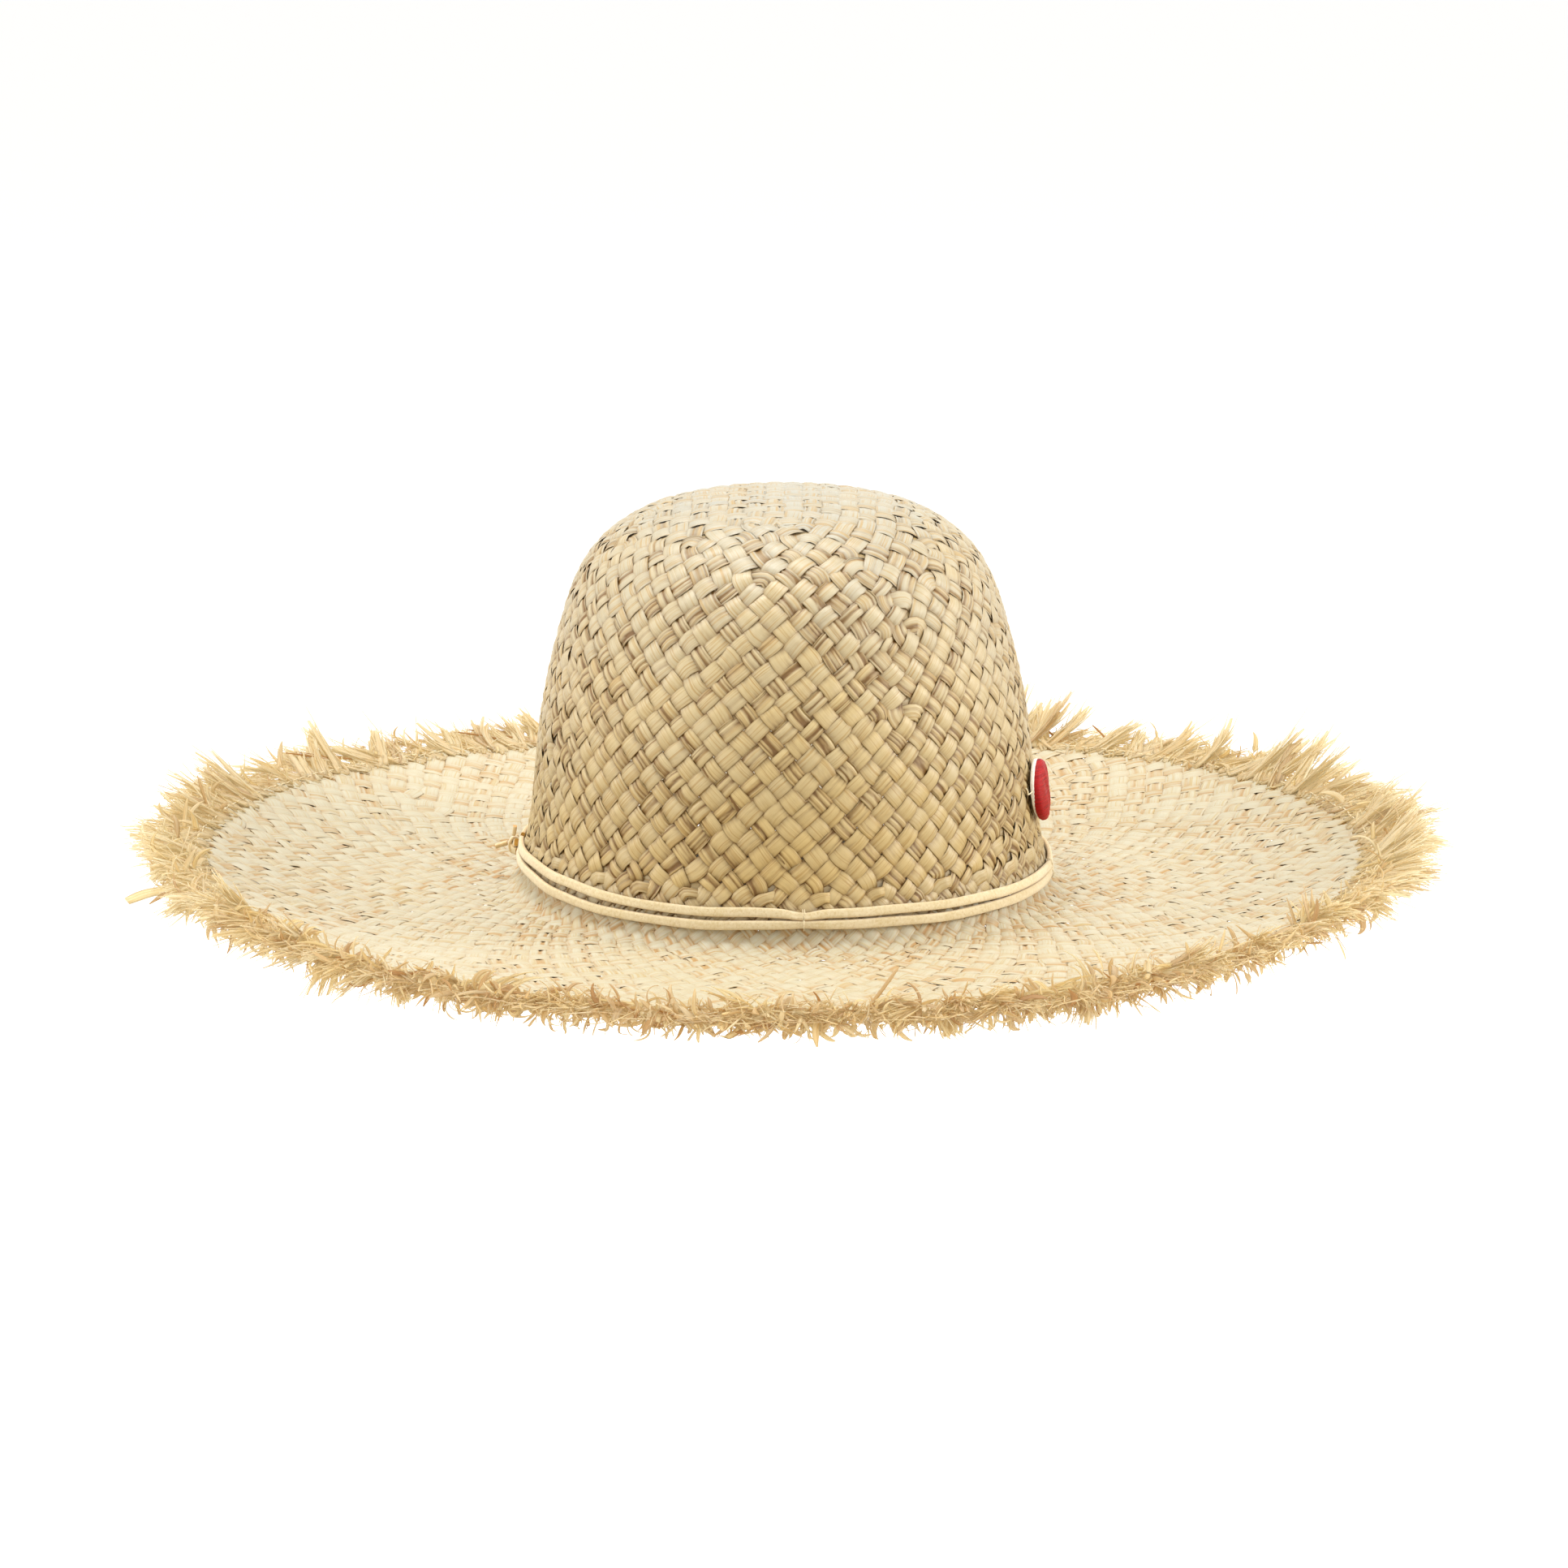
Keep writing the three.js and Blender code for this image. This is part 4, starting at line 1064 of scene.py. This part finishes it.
BAND_LINE = [(-180, 13.9), (-160, 13.3), (-145, 12.1), (-130, 11.2), (-110, 10.9), (-90, 11.4), (-70, 11.0), (-50, 10.0),
             (-30, 9.2), (0, 8.7), (30, 9.2), (60, 10.1), (90, 11.0), (120, 12.0), (150, 13.1), (180, 13.9)]


def band_line(degrees):
    a = np.array([p[0] for p in BAND_LINE], float)
    z = np.array([p[1] for p in BAND_LINE], float)
    i = np.clip(np.searchsorted(a, degrees) - 1, 0, len(a) - 2)
    t = (degrees - a[i]) / (a[i + 1] - a[i])
    return z[i] + (z[i + 1] - z[i]) * (1 - np.cos(PI * t)) / 2


def wall_at(z):
    z = np.asarray(z, float)
    zs = np.array([p[1] for p in CROWN_OUTLINE]); rs = np.array([p[0] for p in CROWN_OUTLINE])
    low = 97.2 - np.sqrt(np.maximum(7.5 ** 2 - (9.3 - np.minimum(z, 9.3)) ** 2, 0))
    return np.where(z >= 9.6, np.interp(z, zs, rs), np.where(z >= 9.3, 89.75, low))


def on_band(degrees, z, out):
    """A point so far out from the wall, and the way out of the wall there."""
    a = np.radians(degrees)
    slope = (wall_at(z + 1.4) - wall_at(z - 1.4)) / 2.8
    r = wall_at(z)
    n = unit(np.stack([np.cos(a), np.sin(a) / OVAL, -slope], -1))
    p = np.stack([r * np.cos(a), half_length(r) * np.sin(a), z], -1)
    return p + n * np.asarray(out)[..., None], n


def bump_at(degrees, middle, spread_):
    return np.exp(-((degrees - middle) / spread_) ** 2)


degrees = np.linspace(-177.9, 177.9, 520)
line = band_line(degrees)
gap = (0.30 + 1.45 * bump_at(degrees, -140, 24) + 0.55 * bump_at(degrees, -104, 12) + 0.55 * bump_at(degrees, -55, 18)
       + 0.9 * bump_at(degrees, 45, 24) + 0.8 * bump_at(degrees, 132, 22))
rng = np.random.default_rng(3)
wob = 0.10 * np.interp(degrees, np.linspace(-180, 180, 40), rng.normal(0, 1, 40))
dip = 0.95 * bump_at(degrees, -86, 3.2) + 0.5 * bump_at(degrees, -8, 4) + 0.4 * bump_at(degrees, 92, 4)
HALF_W, HALF_T = 1.53, 0.72
lower, upper = Tubes(), Tubes()
z_up = line + gap / 2 + HALF_W + wob - dip
z_low = line - gap / 2 - HALF_W + 0.6 * wob + 0.15 * dip
out_up = 1.28 + 0.18 * bump_at(degrees, -30, 22) + 0.12 * np.interp(degrees, np.linspace(-180, 180, 30), rng.normal(0, 1, 30)) - 0.15 * dip
out_low = 1.30 + 0.12 * np.interp(degrees, np.linspace(-180, 180, 30), rng.normal(0, 1, 30)) - 0.15 * dip
for tubes, z, out, ends in ((upper, z_up, out_up, (True, True)), (lower, z_low, out_low, (True, True))):
    pts, n = on_band(degrees, z, out)
    roll = 0.10 * np.interp(degrees, np.linspace(-180, 180, 24), rng.normal(0, 1, 24)) + 0.35 * dip * (1 if tubes is upper else -0.4)
    n = unit(n + np.array([0, 0, 1.0]) * roll[:, None])
    thong(tubes, pts, n, HALF_W * (1 + 0.03 * wander(rng, 520, 12)) * (1 - 0.16 * dip), HALF_T * (1 + 0.04 * wander(rng, 520, 15)), ends)
for tubes, name, cad in ((lower, "band_lower_turn", "hatband_lower_turn"), (upper, "band_upper_turn", "hatband_upper_turn")):
    o = tubes.build(name, SUEDE)
    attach(o, "hat"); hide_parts(cad)

# The knot: the two ends cross, one wraps over the other and both are pulled through.
knot = Tubes()
KX, KZ = -91.75, 13.6


def bent(points, outs, half_w, half_t, ends=(True, True), n=26):
    p = smooth_through3(points, n)
    o = unit(smooth_through3(outs, n))
    thong(knot, p, o, half_w, half_t, ends)


def smooth_through3(points, n):
    p = np.array(points, float)
    k = np.linspace(0, len(p) - 1, n)
    q = np.vstack([2 * p[0] - p[1], p, 2 * p[-1] - p[-2]])
    i = np.clip(k.astype(int), 0, len(p) - 2)
    t = (k - i)[:, None]
    a, b, c, d = q[i], q[i + 1], q[i + 2], q[i + 3]
    return 0.5 * (2 * b + (c - a) * t + (2 * a - 5 * b + 4 * c - d) * t * t + (3 * b - a - 3 * c + d) * t ** 3)


# a core, then the front end wrapped over it from below, and the back end crossing under
bent([(KX + 0.5, -3.2, KZ + 1.6), (KX - 0.1, -1.2, KZ + 0.8), (KX - 0.3, 1.0, KZ - 0.6), (KX + 0.5, 3.2, KZ - 1.6)],
     [(-1, 0, 0.15)] * 4, 1.35, 0.75)
bent([(KX + 0.6, -3.1, KZ - 1.7), (KX - 0.9, -1.5, KZ - 1.2), (KX - 1.55, 0.1, KZ + 0.2), (KX - 0.9, 1.5, KZ + 1.4), (KX + 0.6, 3.0, KZ + 1.7)],
     [(-1, -0.4, -0.1), (-1, -0.3, 0), (-1, 0, 0), (-1, 0.3, 0), (-1, 0.4, 0.1)], 1.30, 0.62)
loop = np.linspace(-0.62, 1.25, 7) * PI
bent([(KX - 0.25 - 1.75 * math.cos(a), 0.35 * math.sin(a) - 0.2, KZ + 2.55 * math.sin(a)) for a in loop],
     [(-math.cos(a), 0, math.sin(a)) for a in loop], 1.45, 0.50, n=30)
o = knot.build("band_knot", SUEDE)
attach(o, "hat"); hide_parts("hatband_knot")

for name, cad, body, start, lean, long, bow in (
        ("tail_end_upper", "knot_tail_upper", "tail_upper", (-92.15, -2.0, 17.9), 100.0, 2.7, 0.15),
        ("tail_end_lower", "knot_tail_lower", "tail_lower", (-95.0, 2.0, 13.7), -17.0, 3.7, 0.15)):
    tubes = Tubes()
    a = math.radians(lean)
    way = np.array([-math.cos(a), 0, math.sin(a)])
    face = np.array([-math.sin(a), 0, -math.cos(a)])
    t = np.linspace(0, 1, 14)[:, None]
    pts = np.array(start) + way * (t * (long + 0.4) - 0.4) + face * (bow * (t * t - t))
    thong(tubes, pts, np.tile(face, (14, 1)), 1.53 * np.interp(t[:, 0], [0, 0.15, 1], [0.80, 0.97, 1.02]), 0.70, (True, True))
    o = tubes.build(name, SUEDE)
    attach(o, body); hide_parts(cad)

# tack stitches over the two turns
for name, cad, middle in (("tack_front", "band_tack_front", -86.0), ("tack_left", "band_tack_left", -8.0), ("tack_back", "band_tack_back", 92.0)):
    tubes = Tubes()
    for shift in (-0.35, 0.35):
        z0 = float(band_line(np.array([middle]))[0])
        k = np.linspace(-1, 1, 17)
        z = z0 - 0.35 + k * 3.45
        out = 2.05 + 0.20 - 1.9 * np.clip(np.abs(k) - 0.80, 0, 1) * 4.0 - 0.25 * np.exp(-(k / 0.12) ** 2)
        d = middle + np.degrees(shift * (0.4 + 0.6 * k) / 95) + 0 * k
        pts, n = on_band(d, z, np.maximum(out, 0.5))
        stitch(tubes, pts, 0.15)
    o = tubes.build(name, THREAD)
    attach(o, "hat"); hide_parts(cad)


# ------------------------------------------------------------------ badge
BADGE_Z = 36.4
BADGE_ANGLE = math.radians(-10.5)


def wall_frame(z, x, angle=BADGE_ANGLE):
    """A point of the crown's outside near the direction angle, x round it and z up, with its normal."""
    zs = np.array([p[1] for p in CROWN_OUTLINE]); rs = np.array([p[0] for p in CROWN_OUTLINE])
    wall = np.interp(z, zs, rs)
    speed = np.hypot(wall * math.sin(angle), wall * OVAL * math.cos(angle))
    a = angle + x / speed
    slope = (np.interp(z + 2, zs, rs) - np.interp(z - 2, zs, rs)) / 4
    n = unit(np.stack([np.cos(a), np.sin(a) / OVAL, -slope], -1))
    return np.stack([wall * np.cos(a), wall * OVAL * np.sin(a), z], -1), n


def disc(name, material_, radius, levels, ridges=None, rim=None, shift=(0.0, 0.0)):
    """A closed round piece on the wall: levels are (share of the radius, distance out), from the back's middle to the face's middle."""
    sides = 96
    a = np.linspace(0, 2 * PI, sides, endpoint=False)
    rings, across, along = [], [], []
    for share, out in levels:
        x = radius[0] * share * np.cos(a)
        y = radius[1] * share * np.sin(a)
        if rim:
            swell = rim(x, y, share, out)
            x, y = x * swell, y * swell
        x, y = x + shift[0], y + shift[1]
        extra = ridges(x, y, share, out) if ridges else 0.0
        p, n = wall_frame(BADGE_Z + y, x)
        rings.append(p + n * (out + extra)[..., None] if ridges else p + n * out)
        across.append(y); along.append(x)
    tubes = Tubes()
    tubes.add(np.array(rings)[:, ::-1], np.stack([np.array(along)[:, ::-1] / 26 + 0.5, np.array(across)[:, ::-1] / 26 + 0.5], -1),
              across=np.array(across)[:, ::-1], along=np.array(along)[:, ::-1])
    o = tubes.build(name, material_)
    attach(o, "hat")
    return o


def satin_material():
    m, tree, shader = material("red_satin_thread")
    link = tree.links.new
    across, along = attribute(tree, "across"), attribute(tree, "along")
    where = vector(tree, math_node(tree, "MULTIPLY", along, 0.12), math_node(tree, "MULTIPLY", across, 4.2), 0.0)
    lines = noise(tree, where, 1.0, 2.0, 0.6)
    wide = noise(tree, vector(tree, math_node(tree, "MULTIPLY", along, 0.05), math_node(tree, "MULTIPLY", across, 0.9), 3.0), 1.0, 1.0)
    base = mixed(tree, stretch(tree, lines, 0.36, 0.66), srgb(122, 4, 8), srgb(182, 14, 16))
    base = mixed(tree, stretch(tree, wide, 0.45, 0.75, 0.0, 0.4), base, srgb(190, 30, 28))
    link(base, shader.inputs["Base Color"])
    shader.inputs["Roughness"].default_value = 0.48
    shader.inputs["Sheen Weight"].default_value = 0.0
    shader.inputs["Sheen Roughness"].default_value = 0.35
    shader.inputs["Specular IOR Level"].default_value = 0.22
    bump = node(tree, "ShaderNodeBump", Strength=0.8, Distance=0.00022)
    link(lines, bump.inputs["Height"])
    link(bump.outputs["Normal"], shader.inputs["Normal"])
    return m


def felt_material(name, light, dark, scale):
    m, tree, shader = material(name)
    where = node(tree, "ShaderNodeTexCoord").outputs["Object"]
    fuzz = noise(tree, where, scale, 4.0, 0.7)
    cloud = noise(tree, where, scale * 0.2, 2.0, 0.5)
    base = mixed(tree, stretch(tree, fuzz, 0.35, 0.68), dark, light)
    base = mixed(tree, stretch(tree, cloud, 0.42, 0.7, 0.0, 0.3), base, dark)
    tree.links.new(base, shader.inputs["Base Color"])
    shader.inputs["Roughness"].default_value = 0.95
    shader.inputs["Sheen Weight"].default_value = 0.4
    shader.inputs["Specular IOR Level"].default_value = 0.15
    bump = node(tree, "ShaderNodeBump", Strength=0.7, Distance=0.0002)
    tree.links.new(fuzz, bump.inputs["Height"])
    tree.links.new(bump.outputs["Normal"], shader.inputs["Normal"])
    return m


RED = satin_material()
FELT = felt_material("white_felt", srgb(247, 243, 234), srgb(226, 219, 204), 1400.0)
BACKING = felt_material("tan_backing", srgb(198, 172, 120), srgb(160, 130, 80), 1100.0)

shares = [0.02, 0.3, 0.6, 0.85, 0.97, 1.0]
o = disc("badge_back_sheet", BACKING, (9.0, 9.0), [(s, 0.7 + 0.25 * s * s) for s in shares] + [(1.0, 1.1), (0.99, 1.5)] + [(s, 1.45) for s in (0.9, 0.6, 0.3, 0.02)])
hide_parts("badge_backing")
rng = np.random.default_rng(9)
rough_edge = rng.normal(0, 0.05, 96)
o = disc("badge_felt_sheet", FELT, (9.9, 9.9), [(s, 1.25) for s in shares] + [(1.0, 1.75), (1.0, 2.25), (0.985, 2.45)] + [(s, 2.5) for s in (0.93, 0.6, 0.3, 0.02)],
         ridges=lambda x, y, share, out: rough_edge * share * (0.6 if share > 0.9 else 0), shift=(-0.5, 0.7))
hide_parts("badge_felt")


def satin(x, y, share, out):
    wave = np.abs(np.sin(PI * (y + 0.25 * np.sin(x * 0.6)) / 1.35)) ** 0.6
    soft = 0.16 * np.sin(x * 0.8 + y * 0.5) * (1 - share ** 4)
    return (0.34 * wave - 0.20 + soft) * (1.0 if out > 3.4 else 0.0)


def rim_wave(x, y, share, out):
    return 1 + (0.026 * np.abs(np.sin(PI * (y + 0.3 * np.sin(out * 1.3)) / 1.35)) ** 0.6 - 0.008) * (1.0 if share > 0.9 and out > 1.7 else 0.0)


dome = [(0.02, 2.6), (0.5, 2.6), (0.9, 2.2), (0.965, 1.75), (1.0, 1.8), (1.03, 2.15), (1.045, 2.6), (1.045, 3.1), (1.035, 3.5), (1.015, 3.9), (0.98, 4.25),
        (0.94, 4.5), (0.88, 4.72), (0.8, 4.88), (0.7, 4.98), (0.6, 5.06), (0.5, 5.12), (0.4, 5.15), (0.3, 5.17), (0.2, 5.18), (0.1, 5.18), (0.02, 5.18)]
o = disc("badge_satin_pad", RED, (9.8, 9.8), dome, ridges=satin, rim=rim_wave)
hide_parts("badge_pad")

tubes = Tubes()
k = np.linspace(-1, 1, 12)
p, n = wall_frame(BADGE_Z + 2.4 + 1.5 * k * 0.9, -14.0 + 0 * k - 0.8 * k)
stitch(tubes, p + n * (0.9 + 0.25 * (1 - k * k))[:, None], 0.28)
p, n = wall_frame(BADGE_Z + 1.4 + 1.2 * k * 0.3, -11.6 + 2.0 * k)
stitch(tubes, p + n * (1.2 + 0.5 * (1 - k * k) + 0.4 * k)[:, None], 0.24)
o = tubes.build("badge_thread", THREAD)
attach(o, "hat"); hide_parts("badge_stitch")


# ------------------------------------------------------------------ inside of the crown
def ribbed_material(name, light, dark, ribs, across_name="along"):
    """Woven ribbon with fine upright ribs."""
    m, tree, shader = material(name)
    link = tree.links.new
    along, across = attribute(tree, "along"), attribute(tree, "across")
    wave = tree.nodes.new("ShaderNodeTexWave")
    wave.wave_type, wave.bands_direction = "BANDS", "X"
    wave.inputs["Scale"].default_value = ribs
    wave.inputs["Distortion"].default_value = 0.5
    wave.inputs["Detail"].default_value = 1.0
    link(vector(tree, along, math_node(tree, "MULTIPLY", across, 0.15), 0.0), wave.inputs["Vector"])
    weft = noise(tree, vector(tree, math_node(tree, "MULTIPLY", along, 0.8), math_node(tree, "MULTIPLY", across, 4.0), 0.0), 1.0, 2.0)
    base = mixed(tree, wave.outputs["Fac"], dark, light)
    base = mixed(tree, stretch(tree, weft, 0.4, 0.7, 0.0, 0.35), base, dark)
    link(base, shader.inputs["Base Color"])
    shader.inputs["Roughness"].default_value = 0.8
    shader.inputs["Sheen Weight"].default_value = 0.25
    shader.inputs["Specular IOR Level"].default_value = 0.25
    bump = node(tree, "ShaderNodeBump", Strength=0.5, Distance=0.00015)
    link(math_node(tree, "ADD", wave.outputs["Fac"], weft), bump.inputs["Height"])
    link(bump.outputs["Normal"], shader.inputs["Normal"])
    return m


SWEAT = ribbed_material("cotton_sweatband", srgb(238, 230, 210), srgb(210, 198, 170), 0.45)
TAPE = ribbed_material("join_tape", srgb(232, 222, 198), srgb(204, 190, 158), 0.9)
LABEL = ribbed_material("satin_label", srgb(250, 247, 240), srgb(236, 231, 220), 1.6)


def inner_wall(z):
    zs = np.array([p[1] for p in CROWN_OUTLINE]); rs = np.array([p[0] for p in CROWN_OUTLINE])
    return np.interp(z, zs, rs) - 1.8 - 0.4


rng = np.random.default_rng(19)
tubes = Tubes()
sides = 400
th = np.linspace(0, 2 * PI, sides + 1)
ripple = 0.10 * np.interp(th, np.linspace(0, 2 * PI, 61), np.r_[rng.normal(0, 1, 60), 0])
profile_z = np.array([10.3, 10.35, 12.4, 12.8, 16, 22, 29, 34.6, 35.7, 36.0, 35.7, 34.6, 29, 22, 16, 12.8, 12.4, 10.35])
profile_in = np.array([0.0, 0.02, 0.06, 0.06, 0.0, 0.0, 0.0, 0.0, 0.1, 0.4, 0.78, 0.85, 0.80, 0.80, 0.82, 0.66, 0.66, 0.80])
m = len(profile_z)
rings = []
for a, rip in zip(th, ripple):
    r = inner_wall(profile_z) - profile_in - np.where(profile_in > 0.3, np.abs(rip) * np.clip((profile_z - 14) / 10, 0, 1), 0) + 0.0
    z = profile_z + 0.12 * math.sin(3 * a + 1)
    rings.append(np.stack([r * math.cos(a), half_length(r) * math.sin(a), z], -1))
rings = np.array(rings)[:, ::-1]
along = np.linspace(0, 560, sides + 1)
tubes.add(rings[:-1], np.stack(np.broadcast_arrays((along[:-1] / 565)[:, None], (np.arange(m) / m)[None, :]), -1),
          along=along[:-1][:, None], across=profile_z[None, ::-1])
tubes.caps = []
base = tubes.quads[0].max() + 1 - m
closing = np.stack([base + np.arange(m), base + (np.arange(m) + 1) % m, (np.arange(m) + 1) % m, np.arange(m)], -1)
tubes.quads.append(closing)
tubes.caps = [np.array([0, 1, 2])][:0]
o = tubes.build("sweatband_ribbon", SWEAT)
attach(o, "hat"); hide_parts("sweatband")

tubes = Tubes()
count = 148
for k in range(count):
    a = 2 * PI * k / count + np.linspace(-0.36, 0.36, 7) * 2 * PI / count
    r = inner_wall(12.6) - 0.80 - 0.12 - 0.22 * np.sqrt(np.clip(1 - np.linspace(-1, 1, 7) ** 2, 0, 1)) + 0.06 * rng.normal()
    z = 12.6 + 0.08 * rng.normal() + 0.10 * np.linspace(-1, 1, 7)
    stitch(tubes, np.stack([r * np.cos(a), half_length(r) * np.sin(a), z], -1), 0.20)
o = tubes.build("sweatband_stitches", THREAD)
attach(o, "hat"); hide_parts("sweatband_stitching")


def inner_plate(name, material_, angle, z0, half_x, half_z, out, thick, sag=0.0):
    """A thin sewn piece on the inside, with turned edges and a little slack."""
    nx, nz = 40, 20
    u = np.linspace(-1, 1, nx)
    rings, al, ac = [], [], []
    zz = np.r_[np.linspace(-1, 1, nz), np.linspace(1, -1, nz)]
    for x in u:
        z = z0 + zz * half_z
        wall = np.interp(z, [p[1] for p in CROWN_OUTLINE], [p[0] for p in CROWN_OUTLINE]) - 1.8
        speed = np.hypot(wall * math.sin(angle), wall * OVAL * math.cos(angle))
        a = angle - x * half_x / speed
        soft = 1 - np.maximum(np.abs(x) ** 10, np.abs(zz) ** 10)
        puff = sag * np.cos(x * PI / 2) * np.cos(zz * PI / 2)
        d = out + np.where(np.arange(2 * nz) < nz, 0.0, thick * (0.45 + 0.55 * soft) + puff)
        n = unit(np.stack([np.cos(a), np.sin(a) / OVAL, 0.12 + 0 * a], -1))
        rings.append(np.stack([wall * np.cos(a), wall * OVAL * np.sin(a), z], -1) - n * d[:, None])
        al.append(np.full(2 * nz, x * half_x)); ac.append(zz * half_z)
    tubes = Tubes()
    al, ac, rings = np.array(al), np.array(ac), np.array(rings)
    tubes.add(rings, np.stack([al / (2.2 * half_x) + 0.5, np.broadcast_to(np.linspace(0, 1, 2 * nz), al.shape)], -1), along=al, across=ac)
    o = tubes.build(name, material_)
    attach(o, "hat")
    return o


face = 0.3 + 0.1 + 0.8 + 0.3 + 0.1
o = inner_plate("join_tape_piece", TAPE, PI / 2, 24.6, 5.5, 10.0, face, 0.6)
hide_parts("sweatband_join_tape")
o = inner_plate("plain_label", LABEL, math.radians(62), 23.5, 12.0, 6.0, face, 0.45, 0.25)
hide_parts("blank_label")


# ------------------------------------------------------------------ floor, light and camera
floor_mesh = bpy.data.meshes.new("floor")
floor_mesh.from_pydata([(-30, -30, 0), (30, -30, 0), (30, 60, 0), (-30, 60, 0)], [], [(0, 1, 2, 3)])
floor = bpy.data.objects.new("floor", floor_mesh)
bpy.context.scene.collection.objects.link(floor)
floor.location.z = -0.25
floor_look, tree, shader = material("floor_look")
shader.inputs["Base Color"].default_value = (0.965, 0.965, 0.96, 1)
shader.inputs["Roughness"].default_value = 0.9
shader.inputs["Specular IOR Level"].default_value = 0.1
floor_mesh.materials.append(floor_look)

world = bpy.data.worlds.new("studio")
world.use_nodes = True
world.node_tree.nodes["Background"].inputs["Color"].default_value = (1.0, 0.995, 0.985, 1)
world.node_tree.nodes["Background"].inputs["Strength"].default_value = 1.04
bpy.context.scene.world = world


def area(name, where, at, size, power, colour=(1, 1, 1)):
    light = bpy.data.lights.new(name, "AREA")
    light.shape = "RECTANGLE"
    light.size, light.size_y = size
    light.energy = power
    light.color = colour
    obj = bpy.data.objects.new(name, light)
    obj.location = where
    obj.rotation_euler = (Vector(at) - Vector(where)).to_track_quat("-Z", "Y").to_euler()
    bpy.context.scene.collection.objects.link(obj)
    return obj


area("overhead_soft", (-0.2, 0.15, 1.7), (0, 0, 0), (0.9, 0.7), 24, (1.0, 0.985, 0.96))
area("left_soft", (-1.6, -0.15, 0.75), (0, 0, 0.05), (0.7, 0.8), 12, (1.0, 0.985, 0.96))
area("right_soft", (1.6, -0.15, 0.75), (0, 0, 0.05), (0.7, 0.8), 20, (1.0, 0.985, 0.96))
area("low_front", (0, -2.0, 0.22), (0, 0, 0.0), (2.4, 0.4), 1.6, (1.0, 0.985, 0.96))

camera = bpy.data.objects.new("camera", bpy.data.cameras.new("camera"))
bpy.context.scene.collection.objects.link(camera)
camera.data.sensor_width = 36.0
camera.data.lens = 113.2
ELEVATION = math.radians(13.22)
camera.location = (0.0, -1.6875 * math.cos(ELEVATION), 1.6875 * math.sin(ELEVATION))
camera.rotation_mode = "QUATERNION"
camera.rotation_quaternion = (Vector((0, 0, 0.0348)) - camera.location).to_track_quat("-Z", "Y")
camera.data.clip_start, camera.data.clip_end = 0.05, 60
bpy.context.scene.camera = camera
bpy.context.scene.view_settings.view_transform = "Standard"
